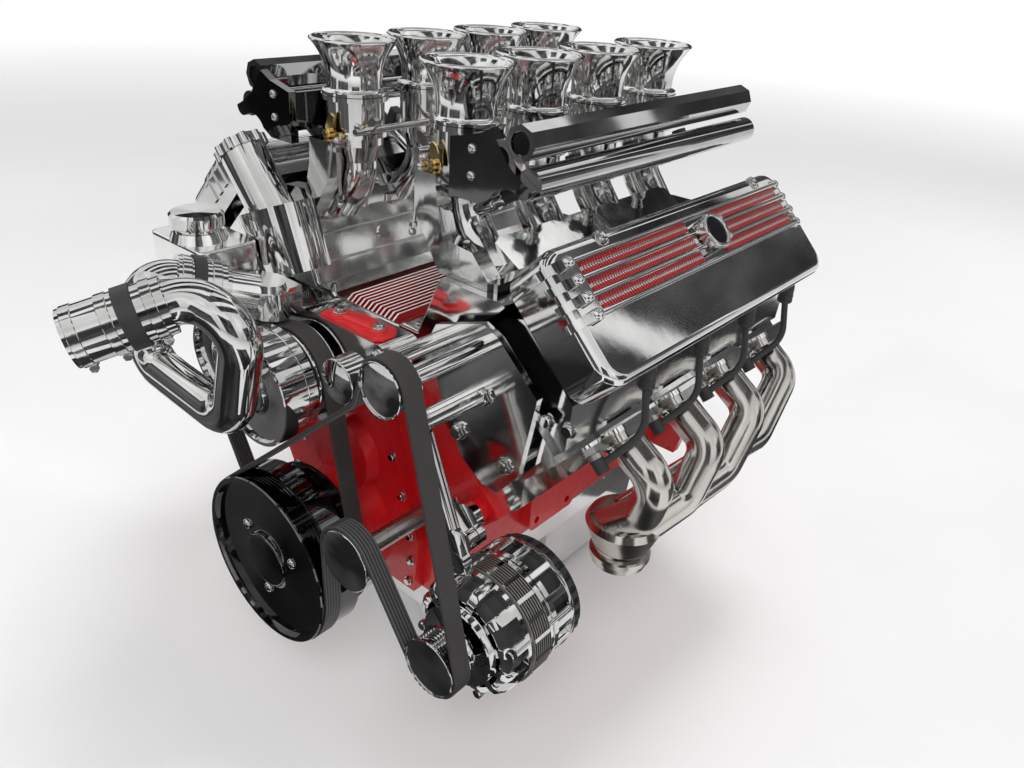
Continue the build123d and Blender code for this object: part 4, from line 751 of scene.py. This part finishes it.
def makeFasteners():
    # one head at each place, and its mirror image where both sides have it
    for table, sides in ((oneSide, bothSides), (driverOnly, lambda shape: shape)):
        for name, (spots, way, radius, height, kind) in table.items():
            make(name, sides(placed(boltShape(radius, height, kind), spots, way)), "boltChrome")


# coil covers' cup washers, rail end plugs, boot collars, core plugs, hexes and welds: each is a profile as
# radius and height, its columns, groups of places with the way they face, and a finish

rings = {
    "cupWashers": ([(0, -4), (9.2, -4), (9.2, 0.4)] + smoothArc(8.2, 0.9, 1.0, 0, 150, 8)
                   + [(5.6, 0.6), (0, 0.5)], 40,
                   [([onBank(459.2, y, -108.0) for y in (-85.7, -408.2)], bankUp)], "boltChrome"),
    "railPlugs": ([(0, 0), (10.4, 0), (10.4, 0.9), (9.4, 1.6), (0, 1.2)], 40,
                  [([(197.965, -475.1, 490.02)], ahead)], "blackEnamel"),
    "bootCollars": ([(6.0, -3.0), (8.2, -3.0), (9.6, -1.2), (9.6, 2.0), (9.2, 2.4), (9.2, 4.4), (9.6, 4.8),
                     (9.6, 7.5), (9.1, 8.2)], 36, [([(306.0, y + 46, 255.5) for y in bores], aloft, aside)],
                    "blackRubber"),
    "corePlugs": ([(21.5, -1), (21.5, 1.0), (20.5, 1.6), (19.0, 1.0), (18.4, -3.0), (0, -3.6)], 48,
                  [([(188.0, y + 56, 67.6) for y in bores[:3]], bankOut),
                   ([onBank(300.0, -495.1, 10.0)], ahead),
                   ([onBank(300.0, -11.5, 10.0), onBank(300.0, -11.5, -55.0)], along)], "machinedSteel"),
    "plugHexes": ([(8.5, 0), (11.0, 0, 1), (11.0, 7.0, 1), (9.6, 8.5), (8.2, 8.5)], 36,
                  [([onBank(330.7, y - 3, 64.2) for y in bores], bankOut)], "machinedSteel"),
    "flangeWelds": (smoothArc(21.6, 1.0, 1.8, -80, 100, 9), 72,
                    [([onBank(329.7, y + 50, 75.2) for y in bores], bankOut)], "machinedSteel"),
}


def makeRings():
    # each profile turned and set at its places
    for name, (profile, columns, groups, finish) in rings.items():
        shape = turned(profile, columns)
        make(name, bothSides(merged(*[placed(shape, *group) for group in groups])), finish)


# rounded crests on the coil covers' fins, and domes on the knobs at their ends

fins = {"out": (-97.0, -79.0, -61.0, -43.0), "front": -475.0, "rear": -45.0, "height": 463.7, "radius": 2.8,
        "knob": 6.5, "frontKnob": 464.2, "rearKnob": 460.6, "stations": 40}


def makeFinCrests():
    # a straight tube on each fin, and quarter circles turned into domes
    y = np.outer(np.linspace(fins["front"], fins["rear"], fins["stations"]), along)
    crests = [tube(onBank(fins["height"], 0, out) + y, fins["radius"]) for out in fins["out"]]
    knob = fins["knob"]
    dome = turned([(0, -2), (knob, -2), (knob, 0)] + smoothArc(0, 0, knob, 8, 90, 10), 36)
    ends = [(fins["frontKnob"], fins["front"]), (fins["rearKnob"], fins["rear"] + 1.0)]
    domes = [placed(dome, [onBank(rise, end, out) for out in fins["out"]], bankUp) for rise, end in ends]
    make("finCrests", bothSides(merged(*crests, *domes)), "coverAlloy")


# medallions' bezels: a rolled ring round each disc, and four small domes beside it

bezel = {"disc": 16.0, "reach": 12.2, "across": 2.3, "height": 1.4, "foot": -1.6, "domes": 3.4,
         "circle": 23.6, "turns": (62, 118, 242, 298)}


def makeBezels():
    # half a circle turned round the disc's middle, which is found from the box of the medallions
    low, high = (np.array(corner) * 1000 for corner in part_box("medallions"))
    middle = np.array([high[0] - bezel["reach"], (low[1] + high[1]) / 2, (low[2] + high[2]) / 2])
    disc, across, foot = bezel["disc"], bezel["across"], bezel["foot"]
    roll = smoothArc(disc + across, bezel["height"], across, 0, 180, 11)
    ring = turned([(disc - 0.2, foot), (disc + 2 * across, foot)] + roll + [(disc, 0.8), (disc - 0.2, 0.4)],
                  72, loop=True)
    dome = turned([(0, -2), (bezel["domes"], -2)] + smoothArc(0, 0, bezel["domes"], 0, 90, 9), 28)
    turn = np.radians(bezel["turns"])
    spots = middle + bezel["circle"] * (np.outer(np.cos(turn), bankOut) + np.outer(np.sin(turn), along))
    both = merged(placed(ring, [middle], bankUp), placed(dome, spots, bankUp))
    make("medallionBezels", bothSides(both), "boltChrome")


# injectors' collars and plugs

injectorLine = {
    "low": (96.865, 396.02), "high": (211.965, 457.02), "boss": 34.3,
    "collar": [(6.5, 0), (9.6, 0), (10.2, 0.8), (10.2, 3.6), (9.6, 4.4), (7.4, 5.0), (7.2, 14), (8.8, 14.6),
               (8.8, 18), (7.2, 18.6)],
    "plug": [(-7, -5), (-5, -7), (5, -7), (7, -5), (7, 5), (5, 7), (-5, 7), (-7, 5)],
    "plugAlong": 26, "plugUp": 5, "plugLong": 20,
}


def makeInjectorDetail():
    # a collar where each injector enters its boss, and an eight-sided plug that stands on it crosswise
    (x0, z0), (x1, z1) = injectorLine["low"], injectorLine["high"]
    way = unit((x1 - x0, 0, z1 - z0))
    foot = [np.array([x0, y, z0]) + way * injectorLine["boss"] for y in bores]
    collar = turned(injectorLine["collar"], 36)
    make("injectorCollars", bothSides(placed(collar, foot, way)), "boltChrome")
    block = extruded(injectorLine["plug"], 0, injectorLine["plugLong"], 1.0)
    lift = unit(np.cross(way, along))
    lift = lift * np.sign(lift[2])
    spots = [spot + way * injectorLine["plugAlong"] + lift * injectorLine["plugUp"] for spot in foot]
    make("injectorPlugs", bothSides(placed(block, spots, lift)), "blackMoulding")


# throttle linkage: a brass bell crank with ball ends before each row, and a link down to the base

linkage = {"at": (82.0, -463.5, 446.0), "arm": (-17.0, -6.5, -5.0), "foot": (58.0, -474.0, 372.0),
           "ball": 4.2, "rod": 2.0, "rodEnds": (0.06, 0.94), "nuts": (0.1, 0.84), "lean": (0.94, 0, 0.34),
           "outline": [(-7, -4), (-3, -8), (3, -8), (7, -4), (9, 5), (8, 17), (4, 22), (-1, 21), (-3, 15),
                       (-6, 6), (-16, 7), (-20, 3), (-18, -3), (-12, -5)],
           "thick": 3.6, "hubBack": 2,
           "hub": [(0, 0), (5.4, 0), (5.4, 5.2), (4.6, 6.0), (3.4, 6.0, 1), (3.4, 8.4, 1), (0, 8.4)],
           "nut": [(0, 0), (3.9, 0, 1), (3.9, 5.0, 1), (0, 5.0)]}


def makeLinkage():
    # an outline extruded for the crank, and a tube along the line from its arm to the foot
    at, foot = np.array(linkage["at"]), np.array(linkage["foot"])
    crank = placed(extruded(linkage["outline"], 0, linkage["thick"], 0.7), [at], ahead, linkage["lean"])
    hub = placed(turned(linkage["hub"], 30), [at - linkage["hubBack"] * along], ahead)
    make("bellCranks", bothSides(merged(crank, hub)), "brassFitting")
    ball = turned(smoothArc(0, 0, linkage["ball"], -90, 90, 13), 26)
    high = at + linkage["arm"]
    run = tube(high + (foot - high) * np.linspace(*linkage["rodEnds"], 20)[:, None], linkage["rod"])
    spots = [high + (foot - high) * share for share in linkage["nuts"]]
    nuts = placed(turned(linkage["nut"], 24), spots, foot - high)
    make("crankLinks", bothSides(merged(run, nuts, placed(ball, [high, foot], aloft))), "boltChrome")


# alternator shell: windows cut as pockets, over a dark drum that shows through them

shell = {"at": wheels["alternatorWheel"]["at"], "radius": 65.8, "columns": 336, "steep": 0.06,
         # pockets: how many, share of the turn, depth and shift
         "rear": (14, 0.62, 11), "front": (12, 0.56, 12, 0.3), "comb": (28, 0.45, 5),
         "ear": (235.96, -570.0, 100.0), "pivot": (205.96, -525.8, 84.0),
         "studs": 63.5, "studTurns": (20, 110, 200, 290), "studBack": -500.0}


def pocketed(profile, count, share, deep, shift=0.0):
    # profile triples are radius, distance forward and how far a pocket may go in there, 0 to 1.
    # The pocket is open where the angle within its share of the turn is small, with steep sides
    table = np.array(profile, float)
    turn = np.linspace(0, 2 * pi, shell["columns"], endpoint=False)
    within = np.abs(((turn / (2 * pi) * count + shift) % 1) - 0.5) * 2
    pocket = 1 - np.clip((within - share) / shell["steep"], 0, 1)
    reach = table[:, :1] - table[:, 2:] * pocket * deep
    height = np.repeat(table[:, 1:2], len(turn), 1)
    return net(np.stack([reach * np.cos(turn), reach * np.sin(turn), height], -1))


def makeAlternator():
    # profiles turned with pockets in them, two ears turned, and webs that run from the ears to the axis
    (x, z), radius = shell["at"], shell["radius"]
    axis = [(x, 0, z)]
    rear = [(0, 490, 0), (50, 490, 0), (60, 492, 0), (64, 495, 0), (radius, 499, 0), (radius, 503, 0),
            (radius, 503.5, 1), (radius, 524.5, 1), (radius, 525, 0), (radius, 531, 0),
            (radius - 1.5, 531.6, 0), (radius - 1.5, 533.4, 0), (radius, 534, 0), (radius, 539, 0),
            (radius - 1, 539.7, 0), (0, 539.7, 0)]
    front = [(0, 566.3, 0), (radius - 1, 566.3, 0), (radius, 567.3, 0), (radius, 573, 0),
             (radius, 573.5, 1), (radius, 586, 1), (64.5, 592, 1), (61, 596.6, 1), (55, 599.4, 1),
             (51, 600.2, 1), (50.5, 600.2, 0), (47, 600.2, 0), (46, 601.5, 0), (45.4, 607.2, 0),
             (44.5, 608.2, 0), (27, 608.2, 0), (25, 609.0, 0), (24, 610.5, 0), (23.6, 613.6, 0),
             (22.6, 614.2, 0), (0, 614.2, 0)]
    shells = placed(merged(pocketed(rear, *shell["rear"]), pocketed(front, *shell["front"])), axis, ahead)

    eye = turned([(0, 0), (11.4, 0), (12, 0.6), (12, 11.4), (11.4, 12), (7.4, 12), (6.8, 11.0), (0, 11.0)],
                 48)
    lug = turned([(0, 0), (12.2, 0), (13, 0.8), (13, 13), (12.2, 13.9), (0, 13.9)], 48)
    arm = extruded([(-11, -14), (11, -14), (9.5, 30), (6, 36), (-6, 36), (-9.5, 30)], 0, 11.8, 1.2)
    bar = extruded([(-9, -6), (9, -6), (12, 44), (-12, 44)], 0, 13.6, 1.2)
    ears = []
    for spot, end, web in ((shell["ear"], eye, arm), (shell["pivot"], lug, bar)):
        tilt = unit((x - spot[0], 0, z - spot[2]))
        ears.append(placed(end, [spot], ahead))
        ears.append(placed(web, [np.array(spot) - 0.1 * along], ahead, np.cross(tilt, ahead) * -1))
    make("alternatorShell", merged(shells, *ears), "chromePlate", stands=("alternator_case",))

    drum = [(0, 498), (57, 498), (57.5, 499), (57.5, 538), (57, 539), (0, 539)]
    drumFront = [(0, 567), (57, 567), (57.5, 568), (57.5, 588), (50, 596), (44, 598), (0, 598)]
    drums = merged(turned(drum, shell["columns"]), turned(drumFront, shell["columns"]))
    make("alternatorDrum", placed(drums, axis, ahead), "blackMoulding")

    turn = np.radians(shell["studTurns"])
    spots = np.column_stack([x + shell["studs"] * np.cos(turn), np.full(len(turn), shell["studBack"]),
                             z + shell["studs"] * np.sin(turn)])
    stud = turned([(0, 0), (4.2, 0, 1), (4.2, 4, 1), (3.2, 4.2), (3.2, 92), (5.4, 92, 1), (5.4, 97, 1),
                   (4.6, 98), (0, 98)], 24)
    make("throughBolts", placed(stud, spots, ahead), "boltChrome")
    comb = [(52, 484.6, 0), (63.0, 484.6, 0), (64.2, 486, 1), (64.2, 494, 1), (62, 496, 0), (52, 496, 0)]
    make("rearComb", placed(pocketed(comb, *shell["comb"]), axis, ahead), "blackMoulding")


# bright keeper bars across the stator, and a knurled grip on the reservoir's cap

bars = {"count": 20, "radius": 67.6, "from": 541.0, "to": 565.0,
        "outline": [(-2.1, -1.2), (2.1, -1.2), (2.1, 0.6), (1.2, 1.1), (-1.2, 1.1), (-2.1, 0.6)]}
grip = {"at": (-140.0, -603.0), "sides": 36, "columns": 216,
        "profile": [(27.4, 4.2), (28.2, 4.8, 1), (28.2, 15.6, 1), (27.2, 16.6)]}


def makeKeepersAndGrip():
    # bars evenly round the alternator's axis, and a profile turned with many flat sides
    bar = extruded(bars["outline"], bars["from"], bars["to"], 0.5)
    x, z = shell["at"]
    parts = []
    for turn in np.linspace(0, 2 * pi, bars["count"], endpoint=False):
        out = np.array([cos(turn), 0.0, sin(turn)])
        spot = np.array([x, 0.0, z]) + out * bars["radius"]
        parts.append(placed(bar, [spot], ahead, np.cross(out, along)))
    make("statorKeepers", merged(*parts), "boltChrome")
    knurl = turned(grip["profile"], grip["columns"], sides=grip["sides"])
    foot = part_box("reservoir_cap")[0][2] / mm
    make("capGrip", placed(knurl, [(*grip["at"], foot)], aloft), "boltChrome")


# intake base: a rounded bar round its front edge, two beads along each wall, pads with bolts on the walls
# and bolts in the valley's corners

base = {"rim": (86.97, 270.0), "shoulder": (117.97, 342.0), "front": -491.0, "rear": -24.0, "bar": 3.4,
        "bead": 1.8, "beads": (0.3, 0.72), "beadEnds": (12, -8), "corner": 0.06,
        "pad": 9.0, "padRise": 0.52, "padEnds": [-470.0, -48.0], "padBolt": (4.2, 4.4), "padBoltUp": 1.8,
        "dip": ((60.5, 270.0), (54.5, 264.4)),
        "floorBolt": (4.6, 4.0), "floorBolts": [(72.5, -476.0, 270.0), (72.5, -36.0, 270.0)]}


def makeBaseDetail():
    # the bar is a tube from corner to corner of the base's front, which leaves out a share of each leg at
    # both ends to round the corners.  The beads and the pads lie at shares of the way from rim to shoulder
    rim, shoulder = (np.array([x, 0.0, z]) for x, z in (base["rim"], base["shoulder"]))
    other = np.array([-1.0, 1.0, 1.0])
    front = along * (base["front"] + base["bar"])
    half = [shoulder, rim] + [np.array([x, 0.0, z]) for x, z in base["dip"]]
    corners = [corner * other + front for corner in half] + [corner + front for corner in half[::-1]]
    share = np.linspace(base["corner"], 1 - base["corner"], 10)[:, None]
    legs = [share * (b - a) + a for a, b in zip(corners, corners[1:])]
    slope = shoulder - rim
    face = unit(np.cross(slope, along)) * -1                # into the valley
    ends = np.array([base["front"], base["rear"]]) + base["beadEnds"]
    y = np.outer(np.linspace(*ends, 30), along)
    beads = [tube(y + rim + slope * share, base["bead"], 12) for share in base["beads"]]
    wide = base["pad"]
    pad = turned([(0, -2), (wide, -2), (wide, 1.6), (wide - 1, 2.6), (5.2, 2.6), (4.8, 2.0), (0, 2.0)], 36)
    between = [(a + b) / 2 for a, b in zip(bores, bores[1:])]
    spots = [rim + slope * base["padRise"] + along * y for y in between + base["padEnds"]]
    bolts = placed(boltShape(*base["padBolt"]), [spot + face * base["padBoltUp"] for spot in spots], face)
    floor = placed(boltShape(*base["floorBolt"]), base["floorBolts"], aloft)
    make("baseBar", tube(np.vstack(legs), base["bar"]), "coverAlloy")
    make("baseBeads", bothSides(merged(*beads, placed(pad, spots, face))), "coverAlloy")
    make("baseBolts", bothSides(merged(bolts, floor)), "boltChrome")


# red casting on the pump's body, before the valley: a low slab with a ridge between two bolted bosses

lid = {"outline": [(10, -562), (96, -562), (102, -556), (102, -540), (92, -527), (42, -527), (32, -533),
                   (16, -533), (8, -540), (8, -556)],
       "foot": 285.6, "thick": 3.2, "bosses": [(27, -548), (84, -544)], "radius": 9.5, "rise": 6.0,
       "ridge": 5.5, "ridgeUp": 1.2, "bolt": (5.4, 5.5)}


def makeLid():
    # the outline extruded, a tube from boss to boss half sunk in it, and the bosses turned
    foot, rise, radius = lid["foot"], lid["rise"], lid["radius"]
    slab = placed(extruded(lid["outline"], 0, lid["thick"], 1.0), [(0, 0, foot)], aloft, aside)
    spots = np.array([(x, y, foot) for x, y in lid["bosses"]])
    boss = turned([(0, 0), (radius + 2, 0), (radius + 0.6, 3.6), (radius, 4.4), (radius, rise - 0.8),
                   (radius - 0.8, rise), (0, rise)], 40)
    share = np.linspace(0, 1, 24)[:, None]
    ridge = tube(spots[0] + (spots[1] - spots[0]) * share + [0, 0, lid["ridgeUp"]], lid["ridge"])
    make("pumpLid", merged(slab, ridge, placed(boss, spots, aloft)), "redEnamel")
    bolts = placed(boltShape(*lid["bolt"], "hex"), spots + [0, 0, rise], aloft)
    make("lidBolts", bolts, "boltChrome")


# pipe clamps: a band over each sleeve's edge, with the screw that draws it tight

clamp = {"radius": 26.4, "wide": 9.0, "proud": 1.1, "thinner": 0.6, "below": 3.7, "beside": 7,
         "screw": [(0, 0), (3.6, 0, 1), (3.6, 3, 1), (2.0, 3.4), (2.0, 11), (3.8, 11, 1), (3.8, 14, 1),
                   (0, 14)],
         # a run's start, a place further along, and each clamp's distance, with 1 where the sleeve is thinner
         "runs": [((-2.0, -808.0, 334.0), (41.0, -718.0, 361.0), {8.0: 0, 36.0: 0, 72.0: 1}),
                  ((-60.0, -623.0, 312.0), (-90.0, -698.0, 336.0), {16.0: 1, 45.0: 1})]}


def makeClamps():
    # a band turned round the pipe, and a screw square to it below, crosswise to the pipe
    half, proud = clamp["wide"] / 2, clamp["proud"]
    screw = turned(clamp["screw"], 24)
    parts = []
    for start, far, stations in clamp["runs"]:
        way = unit(np.array(far) - start)
        down = unit(way * way[2] - aloft)
        across = np.cross(way, down)
        for station, thin in stations.items():
            r = clamp["radius"] - clamp["thinner"] * thin
            band = turned([(r - 0.3, -half), (r + proud - 0.3, -half), (r + proud, -half + 0.4),
                           (r + proud, half - 0.4), (r + proud - 0.3, half), (r - 0.3, half)], 72)
            spot = start + way * station
            parts.append(placed(band, [spot], way))
            head = spot + down * (r + clamp["below"]) - across * clamp["beside"]
            parts.append(placed(screw, [head], across))
    make("pipeClamps", merged(*parts), "boltChrome")


makeStacks()
makeWheels()
makeBelts()
print("stacks, wheels and belts")
makeFasteners()
makeRings()
makeFinCrests()
makeBezels()
makeInjectorDetail()
makeLinkage()
print("bolts, rings and linkage")
makeAlternator()
makeKeepersAndGrip()
print("alternator")
makeBaseDetail()
makeLid()
makeClamps()
print("base, lid and clamps")


# floor, light and camera

floorSheet = {"radius": 14.0, "rings": (0.001, 1.0, 2.0, 4.0, 8.0), "gap": 0.02, "middle": -0.3,
              "fade": (1.6, 6.0), "grain": 3.0, "pale": (0.83, 0.83, 0.83), "dim": (0.78, 0.78, 0.78)}


def makeStage():
    # circles of points joined into a disc, whose alpha falls with the distance from its middle
    turn = np.linspace(0, 2 * pi, 97)[:-1]
    radii = np.array([*floorSheet["rings"], floorSheet["radius"]])
    x, y = np.outer(radii, np.cos(turn)), np.outer(radii, np.sin(turn)) + floorSheet["middle"]
    z = np.full_like(x, cadBox[0][2] - floorSheet["gap"])
    points, quads = net(np.stack([x, y, z], -1))
    mesh = bpy.data.meshes.new("floor")
    mesh.from_pydata(points.tolist(), [], quads[:, ::-1].tolist())
    floor = bpy.data.objects.new("floor", mesh)
    bpy.context.scene.collection.objects.link(floor)
    finish = Finish("paleFloor", Roughness=0.55)
    grain = finish.noise(floorSheet["grain"])
    finish.feed("Base Color", finish.blend(grain, shade(*floorSheet["dim"]), shade(*floorSheet["pale"])))
    x, y = finish.axis("X"), finish.axis("Y") - floorSheet["middle"]
    away = (x * x + y * y) ** 0.5
    finish.feed("Alpha", 1.0 - finish.spread(away, *floorSheet["fade"]))
    floor.data.materials.append(finish.material)


cards = {   # places in metres, turns in degrees
    "middle": -0.3, "lift": 0.01,
    # on the floor: from, sweep, inner and outer radius
    "rings": [(292, 150, 0.36, 0.55), (20, 62, 0.66, 1.5), (96, 40, 0.75, 1.7), (150, 50, 0.6, 1.4),
              (208, 92, 0.42, 1.6), (308, 36, 0.6, 1.45)],
    # upright arcs: from, sweep, radius, low and high
    "walls": [(8, 30, 2.6, -0.1, 1.0), (108, 34, 2.4, 0.0, 1.5), (152, 40, 2.3, -0.1, 0.9),
              (205, 36, 2.4, -0.22, 1.3), (250, 40, 2.2, -0.1, 0.7), (306, 30, 2.5, 0.1, 1.5)],
    # upright and straight: left, right, how far along, low and high
    "backs": [(-0.9, 0.75, 2.2, 0.35, 2.3), (0.93, 1.62, 2.2, 0.5, 2.7), (1.78, 2.5, 2.2, 0.5, 2.7)],
    # overhead: middle across and width
    "ceiling": [(-1.55, 0.75), (-0.4, 0.55), (0.55, 0.6), (1.7, 0.8)],
    "ceilingHeight": 2.5, "ceilingHalf": 1.7,
    "cloudScale": 1.7, "cloudEdges": (0.38, 0.72), "dark": (0.012, 0.012, 0.013), "grey": (0.17, 0.17, 0.175),
}


def makeCards():
    # dark cards that only mirrors see: they give polished metal its dark bands.  Each is a grid of points:
    # arcs at two radii or two heights, or the four corners of a strip
    dark = Finish("darkCard", Roughness=1.0, Base_Color=shade(0.006, 0.006, 0.006), Specular_IOR_Level=0.0,
                  Emission_Strength=1.0)
    cloud = dark.spread(dark.noise(cards["cloudScale"], 3.0), *cards["cloudEdges"])
    dark.feed("Emission Color", dark.blend(cloud, shade(*cards["dark"]), shade(*cards["grey"])))

    def arc(start, sweep, radius, height):
        turn = np.radians(np.linspace(start, start + sweep, 17))
        return np.column_stack([radius * np.cos(turn), radius * np.sin(turn) + cards["middle"],
                                np.full(len(turn), height)])

    low = cadBox[0][2] - cards["lift"]
    sheets = [np.stack([arc(start, sweep, radius, low) for radius in (inner, outer)])
              for start, sweep, inner, outer in cards["rings"]]
    sheets += [np.stack([arc(start, sweep, radius, z) for z in (foot, head)])
               for start, sweep, radius, foot, head in cards["walls"]]
    sheets += [np.array([[(x, y, z) for x in (left, right)] for z in (foot, head)])
               for left, right, y, foot, head in cards["backs"]]
    half, height = cards["ceilingHalf"], cards["ceilingHeight"]
    sheets += [np.array([[(middle + side * wide / 2, y, height) for side in (-1, 1)] for y in (-half, half)])
               for middle, wide in cards["ceiling"]]
    for n, sheet in enumerate(sheets):
        points, quads = net(sheet, loopColumns=False)
        mesh = bpy.data.meshes.new(f"card{n}")
        mesh.from_pydata(points.tolist(), [], quads.tolist())
        card = bpy.data.objects.new(f"card{n}", mesh)
        bpy.context.scene.collection.objects.link(card)
        card.data.materials.append(dark.material)
        card.visible_camera = card.visible_diffuse = card.visible_shadow = False
        card.visible_transmission = False


lamps = {   # place, side of the square, watts; all aimed at one place
    "key": ((1.6, -2.2, 2.3), 1.4, 52.0),
    "fill": ((-2.4, -1.2, 1.7), 1.6, 24.0),
    "top": ((0.2, 0.1, 2.35), 0.7, 22.0),
    "rear": ((0.6, 2.6, 1.6), 1.4, 24.0),
}
lampAim = (0.0, -0.3, 0.2)


def makeLamps():
    # a lamp shines down its own -Z: it is tilted by the angle of its way off the vertical, then turned
    for name, (place, side, watts) in lamps.items():
        lamp = bpy.data.lights.new(name, "AREA")
        lamp.shape, lamp.size, lamp.energy = "SQUARE", side, watts
        holder = bpy.data.objects.new(name, lamp)
        x, y, z = np.array(place) - lampAim
        holder.location = place
        holder.rotation_euler = Euler((np.arctan2(np.hypot(x, y), z), 0, np.arctan2(y, x) + pi / 2))
        holder.visible_glossy = False     # mirrors show the room and its cards, not the lamps
        bpy.context.scene.collection.objects.link(holder)


room = {"dim": 0.56, "overhead": 0.2, "rise": (-0.15, 0.75), "clouds": 0.3, "cloudEdges": (0.4, 0.6),
        "cloudScale": 2.2, "fill": 0.5}


def makeWorld():
    # white to the camera; mirrors see a room that is paler overhead and clouded; half grey to matt faces
    world = bpy.data.worlds.new("studio")
    world.use_nodes = True
    bpy.context.scene.world = world
    world.node_tree.nodes.clear()
    sky = Nodes(world.node_tree)
    camera, glossy, clear = (sky.node("ShaderNodeLightPath", out=f"Is {kind} Ray")
                             for kind in ("Camera", "Glossy", "Transmission"))
    way = sky.node("ShaderNodeTexCoord", out="Generated")
    height = sky.node("ShaderNodeSeparateXYZ", out="Z", Vector=way)
    cloud = sky.node("ShaderNodeTexNoise", out="Fac", Vector=way, Scale=room["cloudScale"], Detail=2.0)
    overhead = sky.spread(height, *room["rise"]) * room["overhead"]
    mirrorSees = room["dim"] + overhead + sky.spread(cloud, *room["cloudEdges"]) * room["clouds"]
    fill = room["fill"]
    strength = fill + camera.most(clear) * (1.0 - fill) + glossy * (mirrorSees - fill)
    back = sky.node("ShaderNodeBackground", Color=shade(1.0, 1.0, 1.0), Strength=strength)
    sky.node("ShaderNodeOutputWorld", out=None, Surface=back)


photoView = {"place": (0.6687, -1.0563, 0.6573), "yaw": 38.515, "pitch": 28.694, "roll": 4.196,
             "lens": 29.32, "sensor": 36.0, "near": 0.01}


def makeCamera():
    # the photo's camera: turned about the vertical, tipped down from level, then rolled
    camera = bpy.data.cameras.new("photoCamera")
    camera.sensor_width, camera.lens = photoView["sensor"], photoView["lens"]
    camera.clip_start = photoView["near"]
    holder = bpy.data.objects.new("photoCamera", camera)
    holder.location = photoView["place"]
    turn = (Euler((0, 0, radians(photoView["yaw"]))).to_matrix()
            @ Euler((radians(90 - photoView["pitch"]), 0, 0)).to_matrix()
            @ Euler((0, 0, radians(photoView["roll"]))).to_matrix())
    holder.rotation_euler = turn.to_euler()
    bpy.context.scene.collection.objects.link(holder)
    bpy.context.scene.camera = holder


makeStage()
makeCards()
makeLamps()
makeWorld()
makeCamera()
bpy.context.scene.view_settings.view_transform = "Standard"
print("stage, lamps and camera")
